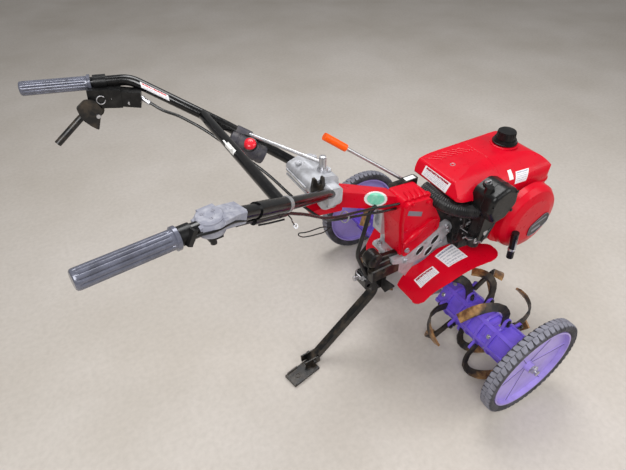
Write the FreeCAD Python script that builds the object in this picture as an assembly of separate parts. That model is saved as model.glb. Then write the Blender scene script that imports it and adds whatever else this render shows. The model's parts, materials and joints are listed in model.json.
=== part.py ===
"""Walk-behind hand tractor with tined rotors and transport wheels, one STEP file per sub-part.

Millimetres. X points forward to the engine, Y to the left, Z up. The sizes are worked out about the
axle's middle on the floor, and the finished pieces move so that the origin is the middle of the
footprint of the whole machine. Right and left are the sides as the person at the grips sees them.
"""
import FreeCAD
import Part
import math
import os

V = FreeCAD.Vector
Y_AXIS, Z_AXIS = V(0, 1, 0), V(0, 0, 1)
RIGHT, LEFT = -1, 1
SIDES = (("right", RIGHT), ("left", LEFT))

# Fits and gaps
RUNNING_FIT = 0.05          # radial clearance of a turning fit
SEAT_GAP = 0.3              # between faces on different bodies
CLEARANCE = 5.0             # between bodies that move past each other

# Wheels
TYRE_R = 170.0
TYRE_HEIGHT = 27.0
TYRE_WIDTH = 40.0
BEAD_R = TYRE_R - TYRE_HEIGHT
TRACK_HALF = 428.0
TREAD_DROP = 9.0            # how far the shoulder lies below the crown
DISC_SHEET = 3.0
DISH_DEPTH = 8.0
CREASE_COUNT = 6
CREASE_WIDTH = 16.0
CREASE_HEIGHT = 5.0
WHEEL_HUB_R = 15.0
WHEEL_HUB_LENGTH = 30.0

# Rotor
AXLE_Z = TYRE_R
AXLE_R = 12.5
SPINDLE_R = 9.0
SPINDLE_END = TRACK_HALF + 30.0
AXLE_END = TRACK_HALF - 28.0
DRUM_START = 96.0
DRUM_END = TRACK_HALF - 32.0
DRUM_FLATS = 100.0          # across the flats of the six-sided drum
RIB_WIDTH = 12.0
RIB_HEIGHT = 5.0
FLANGES = {"inner": DRUM_START + 42.0, "second": DRUM_START + 92.0,
           "third": DRUM_START + 136.0, "fourth": DRUM_START + 176.0, "outer": DRUM_END - 78.0}
FLANGE_R = 60.0
FLANGE_THICK = 8.0
LOBE_REACH = 86.0
LOBE_WIDTH = 32.0
TINE_ROOT_R = 63.0
TINE_WIDTH = 24.0
TINE_THICK = 7.0

# Final drive case
CASE_HALF = 44.0
CASE_BOSS_HALF = 60.0
CASE_BOSS_R = 36.0
CASE_LOWER_R = 62.0
CASE_TOP_Z = 392.0
CASE_FRONT_X = -20.0
CASE_REAR_X = -206.0
FLANGE_PLATE_Y = -60.0
SLOT_R = 6.0

# Upper transmission case
UPPER_REAR_X = -224.0
UPPER_TOP_Z = 596.0
UPPER_LEFT_Y = 20.0
UPPER_RIGHT_Y = -48.0
UPPER_ROUND = 16.0
COVER_THICK = 14.0
SIDE_CASE_LEFT_Y = 58.0

# Engine
ENGINE_REAR_X = -8.0
ENGINE_FRONT_X = 236.0
ENGINE_LEFT_Y = 62.0
ENGINE_RIGHT_Y = -84.0
ENGINE_BASE_Z = 342.0
ENGINE_TOP_Z = 500.0
BED_HALF = 50.0
FIN_COUNT = 6
FIN_PITCH = 16.0
FIN_THICK = 3.0
FIN_REACH = 20.0
CRANK_X = 181.0
CRANK_Z = 458.0
STARTER_R = 109.0
STARTER_FACE_Y = -178.0
SHROUD_FACE_Y = -136.0
SHROUD_TOP_Z = 508.0
PULL_R = 10.5
TANK_REAR_X = 78.0
TANK_FRONT_X = 297.0
TANK_LEFT_Y = 74.0
TANK_RIGHT_Y = -122.0
TANK_BASE_Z = SHROUD_TOP_Z
TANK_TOP_Z = 634.0
TANK_WALL = 2.0
TANK_LIP = 3.0
TANK_LIP_Z = 540.0
CAP_X, CAP_Y = 184.0, -6.0
CAP_R = 26.0
CAP_SKIRT_R = 35.0
CAP_HEIGHT = 36.0
NECK_R = 29.0
COVER_REAR_X = -92.0
COVER_BASE_Z = 556.0

# Fenders
FENDER_GAP = 30.0
FENDER_R = TYRE_R + FENDER_GAP
FENDER_SHEET = 2.5

# Handle post and its pivot
POST_REAR = (-430.0, 0.0, 663.4)
POST_FRONT = (-176.0, 0.0, 552.0)
POST_WIDTH = 48.0
POST_HEIGHT = 42.0
PIVOT_X = -446.0
PIVOT_Z = 676.0
PIVOT_PIN_R = 8.0
PIVOT_EAR_R = 24.0

# Handle
TUBE_R = 12.0
TUBE_WALL = 2.3
GRIP_R = 15.0
GRIP_LENGTH = 138.0
GRIP_REAR_X = -989.0
CROSSBAR_R = 11.5
CROSSBAR_X = -646.0
SLEEVE_R = 14.5
SLEEVE_ENDS = (-716.0, -634.0)
CABLE_BELOW = (-6.0, 0.0, -18.0)   # from the tube's line to the cable under it

# Drag stake
STAKE_X = -250.0
STAKE_SIDE = 24.0
STAKE_TOP_Z = 372.0
STAKE_BEND_Z = 222.0
STAKE_FOOT_X = -476.0
SHOE_REAR_X = -572.0
SHOE_FRONT_X = -456.0
SHOE_WIDTH = 50.0
SHOE_THICK = 10.0
HOLDER_BASE_Z = 258.0
HOLDER_TOP_Z = 352.0
HOLDER_HALF = 27.0
HOLDER_REAR_X = STAKE_X - HOLDER_HALF - 26.0
HITCH_HOLE_R = 6.5
HITCH_HOLE_X = HOLDER_REAR_X + 13.0
HITCH_HOLE_Z = HOLDER_BASE_Z + 34.0

# Controls
SHIFT_FOOT = (-120.0, 58.0, 562.0)
SHIFT_TIP = (-352.0, 141.0, 733.0)
SHIFT_GRIP_SHARE = 0.76
SHIFT_ROD_R = 5.0
SHIFT_GRIP_R = 10.5
CABLE_R = 3.5
HOUSING_FRONT_X = -762.0
HOUSING_BELOW = (0.0, -22.0, -28.0)

CENTRE_X = (TANK_FRONT_X + TANK_LIP + GRIP_REAR_X) / 2


# Shape helpers
def box(x_range, y_range, z_range):
    """Block between two corners, each axis given as (low, high)."""
    (x0, x1), (y0, y1), (z0, z1) = (sorted(r) for r in (x_range, y_range, z_range))
    return Part.makeBox(x1 - x0, y1 - y0, z1 - z0, V(x0, y0, z0))


def rod(start, end, radius):
    """Round bar from one point to another."""
    a, b = V(*start), V(*end)
    return Part.makeCylinder(radius, (b - a).Length, a, b - a)


def barrel(radius, y_a, y_b, x=0.0, z=AXLE_Z):
    """Cylinder along Y between two widths, about the wheel axis unless another centre is given."""
    return rod((x, min(y_a, y_b), z), (x, max(y_a, y_b), z), radius)


def fuse(shapes):
    """One solid from touching shapes, with the seams between flush faces removed."""
    first, rest = shapes[0], shapes[1:]
    return (first.fuse(rest) if rest else first).removeSplitter()


def rounded_wire(corners, place):
    """Closed wire through corners (a, b, radius); place turns a pair into a point in space."""
    flat = [V(a, b, 0) for a, b, _ in corners]
    starts, middles, ends = [], [], []
    for i, (_, _, radius) in enumerate(corners):
        here, before, after = flat[i], flat[i - 1], flat[(i + 1) % len(flat)]
        into, out = (here - before).normalize(), (after - here).normalize()
        turn = into.getAngle(out)
        cut = radius * math.tan(turn / 2)
        starts.append(here - into * cut)
        ends.append(here + out * cut)
        rounded = radius > 0 and turn > 1e-6
        middles.append(here + (out - into).normalize() * (radius / math.cos(turn / 2) - radius) if rounded
                       else None)
    edges = []
    for i, middle in enumerate(middles):
        if middle is not None:
            edges.append(Part.Arc(*(place(p.x, p.y) for p in (starts[i], middle, ends[i]))).toShape())
        following = starts[(i + 1) % len(flat)]
        if (following - ends[i]).Length > 1e-6:
            edges.append(Part.LineSegment(place(ends[i].x, ends[i].y),
                                          place(following.x, following.y)).toShape())
    return Part.Wire(edges)


def side_plate(corners, y_a, y_b):
    """Plate with a side-view outline of (x, z, radius) corners between two widths."""
    face = Part.Face(rounded_wire(corners, lambda x, z: V(x, min(y_a, y_b), z)))
    return face.extrude(V(0, abs(y_b - y_a), 0))


def plan_plate(corners, z_a, z_b):
    """Plate with a top-view outline of (x, y, radius) corners between two heights."""
    face = Part.Face(rounded_wire(corners, lambda x, y: V(x, y, min(z_a, z_b))))
    return face.extrude(V(0, 0, abs(z_b - z_a)))


def end_plate(corners, x_a, x_b):
    """Plate with an end-view outline of (y, z, radius) corners between two lengths."""
    face = Part.Face(rounded_wire(corners, lambda y, z: V(min(x_a, x_b), y, z)))
    return face.extrude(V(abs(x_b - x_a), 0, 0))


def turned(section_corners, x, z, y_offset=0.0):
    """Body of revolution about an axis along Y from (radius, y, round) corners."""
    wire = rounded_wire(section_corners, lambda r, y: V(x + r, y + y_offset, z))
    return Part.Face(wire).revolve(V(x, 0, z), Y_AXIS, 360)


def bent_line(points, radii):
    """Wire of straight runs joined by tangent arcs; radii has one value for each inner point."""
    pts = [V(*p) for p in points]
    edges = []
    last = pts[0]
    for i, radius in enumerate(radii, start=1):
        into, out = (pts[i] - pts[i - 1]).normalize(), (pts[i + 1] - pts[i]).normalize()
        turn = into.getAngle(out)
        cut = radius * math.tan(turn / 2)
        a, b = pts[i] - into * cut, pts[i] + out * cut
        middle = pts[i] + (out - into).normalize() * (radius / math.cos(turn / 2) - radius)
        edges.append(Part.LineSegment(last, a).toShape())
        edges.append(Part.Arc(a, middle, b).toShape())
        last = b
    edges.append(Part.LineSegment(last, pts[-1]).toShape())
    return Part.Wire(edges)


def sweep(points, radii, section_wire):
    """Solid swept along a bent line."""
    return bent_line(points, radii).makePipeShell([section_wire], True, True)


def bent_rod(points, radii, radius):
    start, towards = V(*points[0]), V(*points[1])
    section = Part.Wire(Part.makeCircle(radius, start, towards - start))
    return sweep(points, radii, section)


def bent_tube(points, radii, radius, wall):
    return bent_rod(points, radii, radius).cut(bent_rod(points, radii, radius - wall))


def even_radii(points):
    """At each inner point 0.45 of the shorter run over the tangent of half the turn."""
    pts = [V(*p) for p in points]
    radii = []
    for a, b, c in zip(pts, pts[1:], pts[2:]):
        turn = (b - a).getAngle(c - b)
        radii.append(0.45 * min((b - a).Length, (c - b).Length) / math.tan(turn / 2))
    return radii


def beam(start, end, width, height):
    """Bar of rectangular section between two points, with its width level."""
    a, b = V(*start), V(*end)
    along = (b - a).normalize()
    level = Z_AXIS.cross(along).normalize() * (width / 2)
    rise = along.cross(level).normalize() * (height / 2)
    corners = [a + level + rise, a - level + rise, a - level - rise, a + level - rise]
    return Part.Face(Part.makePolygon(corners + corners[:1])).extrude(b - a)


def share_point(start, end, share):
    return tuple(V(*start) + (V(*end) - V(*start)) * share)


def sided(points, side):
    return [(x, y * side, z) for x, y, z in points]


# Wheels
def tyre(side):
    half = TYRE_WIDTH / 2
    crown, shoulder, bead = half * 0.55, half * 0.9, half * 0.62
    corners = [(BEAD_R, -bead, 0), (BEAD_R + 8, -half * 0.9, 0), (TYRE_R - TREAD_DROP * 1.6, -half, 0),
               (TYRE_R - TREAD_DROP * 0.4, -shoulder, 0), (TYRE_R, -crown, 0), (TYRE_R, crown, 0),
               (TYRE_R - TREAD_DROP * 0.4, shoulder, 0), (TYRE_R - TREAD_DROP * 1.6, half, 0),
               (BEAD_R + 8, half * 0.9, 0), (BEAD_R, bead, 0)]
    return turned(corners, 0.0, AXLE_Z, side * TRACK_HALF)


def crease(side, number):
    """Pressed ridge of the wheel disc from the hub to the rim, three-cornered in section."""
    inner, outer = WHEEL_HUB_R - 2, BEAD_R - 4
    rings = []
    for radius, dish, width, height in ((inner, DISH_DEPTH, CREASE_WIDTH * 0.8, CREASE_HEIGHT * 0.5),
                                        (outer, 0.0, CREASE_WIDTH, CREASE_HEIGHT)):
        y = side * (TRACK_HALF - dish)
        rings.append(Part.makePolygon([V(radius, y, AXLE_Z - width / 2), V(radius, y, AXLE_Z + width / 2),
                                       V(radius, y + side * height, AXLE_Z),
                                       V(radius, y, AXLE_Z - width / 2)]))
    ridge = Part.makeLoft(rings, True, True)
    ridge.rotate(V(0, 0, AXLE_Z), Y_AXIS, -(7 + 360.0 * number / CREASE_COUNT))
    return ridge


def wheel_disc(side):
    """Pressed disc: rim channel under the tyre, a dished web with ridges, and the hub tube."""
    half = TYRE_WIDTH / 2
    rim = turned([(BEAD_R - 5, -half * 0.8, 0), (BEAD_R, -half * 0.8, 0), (BEAD_R, half * 0.8, 0),
                  (BEAD_R - 5, half * 0.8, 0)], 0.0, AXLE_Z, side * TRACK_HALF)
    dished = -side * DISH_DEPTH
    web = turned([(WHEEL_HUB_R - 3, dished - DISC_SHEET / 2, 0), (BEAD_R - 3, -DISC_SHEET / 2, 0),
                  (BEAD_R - 3, DISC_SHEET / 2, 0), (WHEEL_HUB_R - 3, dished + DISC_SHEET / 2, 0)],
                 0.0, AXLE_Z, side * TRACK_HALF)
    hub_in = side * (TRACK_HALF - WHEEL_HUB_LENGTH * 0.65)
    hub_out = side * (TRACK_HALF + WHEEL_HUB_LENGTH * 0.35)
    hub = barrel(WHEEL_HUB_R, hub_in, hub_out)
    disc = fuse([rim, web, hub] + [crease(side, number) for number in range(CREASE_COUNT)])
    return disc.cut(barrel(SPINDLE_R + RUNNING_FIT, hub_in - side, hub_out + side))


# Rotor
def rotor_axle():
    middle = barrel(AXLE_R, -AXLE_END, AXLE_END)
    spindles = [barrel(SPINDLE_R, side * (AXLE_END - 1), side * SPINDLE_END) for _, side in SIDES]
    return fuse([middle] + spindles)


def hexagon(flats):
    corner = flats / math.sqrt(3)
    return [(corner * math.cos(math.radians(60 * k)), AXLE_Z + corner * math.sin(math.radians(60 * k)), 6)
            for k in range(6)]


# Flange that carries the tine, angle of the shank up from straight ahead, side of its bend (+1 outwards)
# and how far the blade trails along the circle
TINE_TABLE = (
    ("inner", 165, 1, 0.9), ("inner", 285, 1, 0.9), ("inner", 30, 1, 1.0),
    ("second", 200, -1, 1.2), ("second", 258, 1, 0.8), ("second", 100, -1, 0.6), ("second", 330, -1, 1.0),
    ("third", 72, -1, 0.5), ("third", 312, 1, 0.9), ("fourth", 222, 1, 1.3),
    ("outer", 88, -1, 1.4), ("outer", 10, -1, 0.6), ("outer", 300, 1, 1.0),
)

# Stations along a tine: radius from the axle, trail along the circle, sideways run, width share and
# how far the flat side has turned outwards in degrees
TINE_STATIONS = (
    (TINE_ROOT_R, 0.0, 0.0, 0.9, 0.0),
    (104.0, 4.0, 0.0, 1.0, 0.0),
    (134.0, 16.0, 7.0, 1.0, 25.0),
    (151.0, 40.0, 24.0, 1.1, 60.0),
    (155.0, 72.0, 46.0, 1.25, 85.0),
    (152.0, 104.0, 66.0, 1.15, 90.0),
)
CURVE_STEPS = 2             # loft sections from one station to the next


def smoothed(rows, steps):
    """Rows with Catmull-Rom rows between them, for an even curve through all stations."""
    smooth = []
    for i in range(len(rows) - 1):
        a, b, c, d = (rows[min(max(k, 0), len(rows) - 1)] for k in (i - 1, i, i + 1, i + 2))
        for j in range(steps):
            t = j / steps
            smooth.append(tuple(0.5 * (2 * q + (r - p) * t + (2 * p - 5 * q + 4 * r - s) * t ** 2
                                       + (3 * q - p - 3 * r + s) * t ** 3) for p, q, r, s in zip(a, b, c, d)))
    return smooth + [rows[-1]]


TINE_CURVE = [TINE_STATIONS[0]] + smoothed(TINE_STATIONS[1:], CURVE_STEPS)


def tine_frame(radius, trail, sideways, side, flange_y, bend):
    """Point on the tine's line, with the outward, trailing and sideways directions there."""
    lag = trail / max(radius, 100.0)
    outward = V(math.sin(-lag), 0, math.cos(lag))
    trailing = V(-math.cos(lag), 0, -math.sin(lag))
    across = V(0, bend * side, 0)
    start_y = side * flange_y + bend * side * (FLANGE_THICK + TINE_THICK) / 2
    point = V(0, start_y, AXLE_Z) + outward * radius + across * sideways
    return point, outward, trailing, across


def tine(side, flange, angle, bend, trail_share):
    """Flat bar blade: a straight shank beside its flange that curls back and to one side."""
    frames = [tine_frame(r, t * trail_share, s, side, FLANGES[flange], bend) for r, t, s, _, _ in TINE_CURVE]
    sections = []
    for i, (_, _, _, width_share, turn) in enumerate(TINE_CURVE):
        point, outward, trailing, across = frames[i]
        before, after = frames[max(i - 1, 0)][0], frames[min(i + 1, len(frames) - 1)][0]
        along = (after - before).normalize()
        a = math.radians(turn)
        flat_side = across * math.cos(a) - outward * math.sin(a)
        width_way = flat_side.cross(along).normalize()
        thick_way = along.cross(width_way).normalize()
        w, t = width_way * (TINE_WIDTH * width_share / 2), thick_way * (TINE_THICK / 2)
        sections.append(Part.makePolygon([point - w - t, point + w - t, point + w + t, point - w + t,
                                          point - w - t]))
    solid = Part.makeLoft(sections, True, True)
    solid.rotate(V(0, 0, AXLE_Z), Y_AXIS, 90 - angle)
    return solid


def tines(side):
    return Part.makeCompound([tine(side, *row) for row in TINE_TABLE])


def drum(side):
    """Six-sided drum with ribs along its corners and lobed flanges that carry the tines."""
    parts = [side_plate(hexagon(DRUM_FLATS), side * DRUM_START, side * DRUM_END)]
    corner = DRUM_FLATS / math.sqrt(3) - 3
    for k in range(6):
        rib = box((corner - 6, corner + RIB_HEIGHT), (side * DRUM_START, side * DRUM_END),
                  (AXLE_Z - RIB_WIDTH / 2, AXLE_Z + RIB_WIDTH / 2))
        rib.rotate(V(0, 0, AXLE_Z), Y_AXIS, 60 * k)
        parts.append(rib)
    for y in FLANGES.values():
        parts.append(barrel(FLANGE_R, side * (y - FLANGE_THICK / 2), side * (y + FLANGE_THICK / 2)))
    for flange, angle, _, _ in TINE_TABLE:
        y = FLANGES[flange]
        half = LOBE_WIDTH / 2
        lobe = side_plate([(FLANGE_R / 2, AXLE_Z - half - 6, 0), (LOBE_REACH, AXLE_Z - half + 4, 8),
                           (LOBE_REACH, AXLE_Z + half - 4, 8), (FLANGE_R / 2, AXLE_Z + half + 6, 0)],
                          side * (y - FLANGE_THICK / 2), side * (y + FLANGE_THICK / 2))
        lobe.rotate(V(0, 0, AXLE_Z), Y_AXIS, -angle)
        parts.append(lobe)
    return fuse(parts).cut(barrel(AXLE_R, side * (DRUM_START - 1), side * (DRUM_END + 1)))


# Final drive case, its flange with slotted lightening holes, and the engine bed
def gear_case():
    body = side_plate([(-CASE_LOWER_R, AXLE_Z, 0), (-40, AXLE_Z - CASE_LOWER_R + 8, 30),
                       (40, AXLE_Z - CASE_LOWER_R + 8, 30), (CASE_LOWER_R, AXLE_Z + 10, 20),
                       (CASE_FRONT_X, CASE_TOP_Z, 20), (CASE_REAR_X, CASE_TOP_Z, 12),
                       (CASE_REAR_X, CASE_TOP_Z - 60, 20)], -CASE_HALF, CASE_HALF)
    rear_lip = side_plate([(CASE_REAR_X + 20, CASE_TOP_Z - 34, 0), (CASE_REAR_X + 20, CASE_TOP_Z, 0),
                           (CASE_REAR_X - 28, CASE_TOP_Z, 8), (CASE_REAR_X - 28, CASE_TOP_Z - 16, 8)],
                          FLANGE_PLATE_Y + 4, CASE_HALF)
    flange = side_plate([(-198, 388, 8), (-124, 424, 8), (-76, 452, 8), (-36, 462, 10), (-18, 430, 14),
                         (-60, 384, 12), (-116, 352, 12), (-190, 356, 12)], FLANGE_PLATE_Y, -CASE_HALF)
    boss = barrel(CASE_BOSS_R, -CASE_BOSS_HALF, CASE_BOSS_HALF)
    solid = fuse([body, rear_lip, flange, boss])
    for x, z in ((-140, 392), (-82, 412), (-98, 374)):
        slot = side_plate([(x - 16, z - 14, SLOT_R), (x - 3, z - 20, SLOT_R), (x + 16, z + 14, SLOT_R),
                           (x + 3, z + 20, SLOT_R)], FLANGE_PLATE_Y - 1, -CASE_HALF)
        solid = solid.cut(slot)
    return solid.cut(barrel(AXLE_R + RUNNING_FIT, -CASE_BOSS_HALF - 1, CASE_BOSS_HALF + 1))


def engine_bed():
    plate = box((CASE_FRONT_X - 60, ENGINE_FRONT_X - 40), (-BED_HALF, BED_HALF),
                (ENGINE_BASE_Z - 12, ENGINE_BASE_Z))
    return plate.cut(gear_case())


# Upper transmission case: red box, its bolted cover on the right and the cast case on the left
CASE_OUTLINE = ((UPPER_REAR_X, 520, 4), (-206, CASE_TOP_Z, 8), (-192, CASE_TOP_Z, 8), (-120, 426, 16),
                (-74, 452, 12), (-76, 492, 14), (-128, 588, UPPER_ROUND),
                (UPPER_REAR_X, UPPER_TOP_Z, UPPER_ROUND))


def transmission_case():
    return side_plate(CASE_OUTLINE, UPPER_RIGHT_Y, UPPER_LEFT_Y).cut(gear_case()).cut(side_case())


def case_cover():
    """Cover plate with a bearing bulge, as bolted to the right of the case."""
    plate = side_plate([(UPPER_REAR_X + 6, 520, 4), (-202, CASE_TOP_Z + 6, 5), (-190, CASE_TOP_Z + 5, 5),
                        (-120, 432, 16), (-80, 456, 12), (-82, 490, 14), (-132, 582, UPPER_ROUND),
                        (UPPER_REAR_X + 6, UPPER_TOP_Z - 6, UPPER_ROUND)], UPPER_RIGHT_Y - COVER_THICK,
                        UPPER_RIGHT_Y)
    bulge = side_plate([(-176, 448, 10), (-120, 458, 18), (-98, 486, 18), (-112, 516, 18), (-160, 486, 18)],
                       UPPER_RIGHT_Y - COVER_THICK - 7, UPPER_RIGHT_Y - COVER_THICK)
    return fuse([plate, bulge]).cut(gear_case())


def side_case():
    body = side_plate([(UPPER_REAR_X - 4, 430, 12), (-140, 430, 20), (-120, 470, 20), (-140, 540, 20),
                       (UPPER_REAR_X - 4, 540, 12)], UPPER_LEFT_Y, SIDE_CASE_LEFT_Y)
    foot = box((-206, -140), (UPPER_LEFT_Y + 4, CASE_HALF), (CASE_TOP_Z, 434))
    recess = end_plate([(31, 455, 10), (51, 455, 10), (51, 515, 10), (31, 515, 10)],
                       UPPER_REAR_X - 5, UPPER_REAR_X + 6)
    return fuse([body, foot]).cut(recess)


# Engine
def engine_block():
    """Crankcase as one plain block, the finned cylinder on its right and the head below the cover."""
    crankcase = side_plate([(ENGINE_REAR_X, ENGINE_BASE_Z, 20), (ENGINE_FRONT_X - 10, ENGINE_BASE_Z, 30),
                            (ENGINE_FRONT_X, 420, 20), (ENGINE_FRONT_X - 30, ENGINE_TOP_Z, 20),
                            (ENGINE_REAR_X + 20, ENGINE_TOP_Z, 20)], ENGINE_RIGHT_Y, ENGINE_LEFT_Y)
    head = box((-36, TANK_REAR_X - 8), (-62, 46), (ENGINE_TOP_Z - 30, COVER_BASE_Z))
    fins = [box((4, 52), (ENGINE_RIGHT_Y - FIN_REACH, ENGINE_RIGHT_Y),
                (398 + FIN_PITCH * k, 398 + FIN_PITCH * k + FIN_THICK)) for k in range(FIN_COUNT)]
    barrel_wall = box((8, 48), (ENGINE_RIGHT_Y - 8, ENGINE_RIGHT_Y), (392, 490))
    return fuse([crankcase, head, barrel_wall] + fins).cut(gear_case())


def fan_shroud():
    return side_plate([(60, 404, 24), (116, 370, 60), (222, 372, 60), (284, 430, 50), (288, SHROUD_TOP_Z, 8),
                       (60, SHROUD_TOP_Z, 8)], SHROUD_FACE_Y, ENGINE_RIGHT_Y)


def recoil_starter():
    """Domed pressing over the pull cord's reel."""
    depth = SHROUD_FACE_Y - STARTER_FACE_Y
    section = [(0, SHROUD_FACE_Y, 0), (STARTER_R, SHROUD_FACE_Y, 0),
               (STARTER_R - 2, SHROUD_FACE_Y - depth * 0.45, 6),
               (STARTER_R - 13, SHROUD_FACE_Y - depth * 0.82, 8), (STARTER_R - 40, STARTER_FACE_Y, 10),
               (0, STARTER_FACE_Y, 0)]
    return turned(section, CRANK_X, CRANK_Z)


def starter_handle():
    y = STARTER_FACE_Y - PULL_R
    grip_bar = rod((102, y, 452), (114, y, 352), PULL_R)
    eye = rod((108, y, 430), (108, STARTER_FACE_Y + 10, 430), 4)
    return fuse([grip_bar, eye]).cut(recoil_starter())


def tank_form(inset):
    """Rounded tank body, smaller on every side by the inset."""
    rear, front = TANK_REAR_X + inset, TANK_FRONT_X - inset
    right, left = TANK_RIGHT_Y + inset, TANK_LEFT_Y - inset
    base, top = TANK_BASE_Z + inset, TANK_TOP_Z - inset
    plan = plan_plate([(rear, right, 8), (front, right, 40), (front, left, 66), (rear, left, 8)],
                      TANK_BASE_Z, TANK_TOP_Z + 10)
    side = side_plate([(rear, base, 4), (front - 8, base, 10), (front, 566, 60), (front - 46, top - 10, 80),
                       (CAP_X - 40, top, 60), (rear, top, 6)], TANK_RIGHT_Y, TANK_LEFT_Y)
    end = end_plate([(right, base, 8), (right, top - 48, 50), (right + 64, top, 80), (left, top, 20),
                     (left, base, 8)], TANK_REAR_X, TANK_FRONT_X)
    return plan.common(side).common(end)


def fuel_tank():
    """Hollow tank with its seam lip and the neck under the cap."""
    shell = tank_form(0).cut(tank_form(TANK_WALL))
    rear, front = TANK_REAR_X, TANK_FRONT_X + TANK_LIP
    right, left = TANK_RIGHT_Y - TANK_LIP, TANK_LEFT_Y + TANK_LIP
    lip = plan_plate([(rear, right, 8), (front, right, 43), (front, left, 68), (rear, left, 8)],
                     TANK_LIP_Z, TANK_LIP_Z + 4).cut(tank_form(TANK_WALL))
    neck = Part.makeCylinder(NECK_R, 10, V(CAP_X, CAP_Y, TANK_TOP_Z - 6))
    return fuse([shell, lip, neck])


def fuel_cap():
    base = TANK_TOP_Z + 4
    skirt = Part.makeCone(CAP_SKIRT_R, CAP_SKIRT_R - 3, 12, V(CAP_X, CAP_Y, base))
    top = Part.makeCone(CAP_R + 2, CAP_R - 1, CAP_HEIGHT - 12, V(CAP_X, CAP_Y, base + 12))
    return fuse([skirt, top])


def engine_cover():
    """Closed hood over the cylinder head, cut away round the air cleaner."""
    front, left, right = TANK_REAR_X - 0.5, TANK_LEFT_Y, TANK_RIGHT_Y
    plan = plan_plate([(COVER_REAR_X, left - 4, 14), (COVER_REAR_X, -116, 28), (-30, right, 30),
                       (front, right, 0),
                       (front, left, 0)], COVER_BASE_Z - 20, TANK_TOP_Z + 10)
    side = side_plate([(COVER_REAR_X, 582, 5), (-40, 576, 10), (-12, COVER_BASE_Z, 8),
                       (front, COVER_BASE_Z, 0),
                       (front, TANK_TOP_Z, 0), (4, TANK_TOP_Z - 2, 50), (COVER_REAR_X + 18, 620, 14)], right,
                       left)
    end = end_plate([(right, COVER_BASE_Z, 0), (right, TANK_TOP_Z - 48, 50), (right + 64, TANK_TOP_Z, 80),
                     (left, TANK_TOP_Z, 20), (left, COVER_BASE_Z, 0)], COVER_REAR_X, front)
    bay = side_plate([(-34, COVER_BASE_Z - 4, 8), (2, 622, 26), (front + 2, 622, 0),
                      (front + 2, COVER_BASE_Z - 4, 0)], right - 1, -104)
    return plan.common(side).common(end).cut(bay)


def air_cleaner():
    """Filter housing with a domed lid, its knob and the duct down to the carburettor."""
    body = side_plate([(-36, 566, 24), (-30, 612, 22), (18, 632, 30), (62, 616, 26), (68, 570, 24),
                       (36, 528, 20), (-8, 520, 20)], -184, -110)
    body = body.makeFillet(12, [e for e in body.Edges if e.BoundBox.YMax < -183.9])
    knob = Part.makeCone(14, 11, 18, V(-15, -147, 610))
    elbow = side_plate([(-20, 446, 10), (20, 446, 10), (34, 540, 4), (-14, 540, 4)], -158, -118)
    solid = fuse([body, knob, elbow])
    return solid.cut(engine_cover()).cut(fan_shroud()).cut(tank_form(0))


DUCT_LINE = ((-114, -6, 576), (-102, -72, 560), (-66, -106, 546), (-20, -128, 538))


def intake_duct():
    duct = bent_rod(DUCT_LINE, [50, 50], 20)
    return duct.cut(air_cleaner()).cut(engine_cover()).cut(case_cover()).cut(transmission_case())


def carburettor():
    """Float bowl, throttle body and the flange that bolts to the cylinder."""
    bowl = Part.makeCylinder(17, 30, V(2, -128, 408))
    body = side_plate([(-22, 436, 6), (26, 436, 6), (26, 446, 0), (-22, 446, 0)], -150, -106)
    flange = box((6, 50), (-118, ENGINE_RIGHT_Y - FIN_REACH), (400, 440))
    arm_set = governor_arm()
    return Part.makeCompound([fuse([bowl, body, flange]).cut(air_cleaner()).cut(fan_shroud()), arm_set])


def governor_arm():
    """Lever on its shaft behind the carburettor, with the bracket that holds it."""
    arm = side_plate([(-34, 404, 4), (-26, 404, 4), (-20, 470, 4), (-30, 470, 4)], -96, -92)
    shaft = barrel(5, -98, ENGINE_RIGHT_Y - 2, -30, 410)
    bracket = box((-40, ENGINE_REAR_X + 22), (ENGINE_RIGHT_Y - 4, ENGINE_RIGHT_Y), (392, 430))
    return fuse([arm, shaft, bracket]).cut(engine_block()).cut(gear_case())


def muffler():
    return side_plate([(120, 380, 24), (250, 380, 24), (250, 480, 24), (120, 480, 24)],
                      ENGINE_LEFT_Y, ENGINE_LEFT_Y + 62)


# Fenders: top-view outline for the left side as (x, y, round)
FENDER_OUTLINE = ((-186, 36, 6), (-192, 118, 18), (-168, 144, 14), (-112, 160, 40), (-30, 172, 90),
                  (20, 182, 40),
                  (80, 182, 8), (88, 150, 8), (62, 106, 30), (0, 66, 30), (-60, 56, 60), (-108, 58, 40),
                  (-144, 42, 30))


def fender(side):
    """Sheet bent over the rotor, trimmed round the engine and seated on the drive case."""
    widest = max(y for _, y, _ in FENDER_OUTLINE)
    shell = barrel(FENDER_R, 0, side * (widest + 1)).cut(barrel(FENDER_R - FENDER_SHEET, 0,
                                                                side * (widest + 1)))
    blank = plan_plate([(x, y * side, r) for x, y, r in FENDER_OUTLINE], AXLE_Z + 40, AXLE_Z + FENDER_R + 1)
    sheet = shell.common(blank)
    engine_room = box((ENGINE_REAR_X - 6, ENGINE_FRONT_X), (ENGINE_RIGHT_Y - 6, ENGINE_LEFT_Y + 6),
                      (AXLE_Z, 500))
    return sheet.cut(engine_room).cut(gear_case()).cut(engine_bed())


# Handle post and pivot
def handle_post():
    """Sloping square arm with a round head for the pivot and a stop plate under it."""
    arm = beam(POST_REAR, POST_FRONT, POST_WIDTH, POST_HEIGHT)
    arm = arm.cut(box((UPPER_REAR_X, 0), (-60, 60), (CASE_TOP_Z, UPPER_TOP_Z + 20)))
    half = POST_WIDTH / 2
    head = barrel(PIVOT_EAR_R, -half, half, PIVOT_X, PIVOT_Z)
    stop = side_plate([(PIVOT_X - 38, 630, 4), (-398, 616, 4), (-396, 646, 4), (PIVOT_X - 38, 645, 4)],
                      -half, half)
    return fuse([arm, head, stop]).cut(barrel(PIVOT_PIN_R, -half - 1, half + 1, PIVOT_X, PIVOT_Z))


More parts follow.
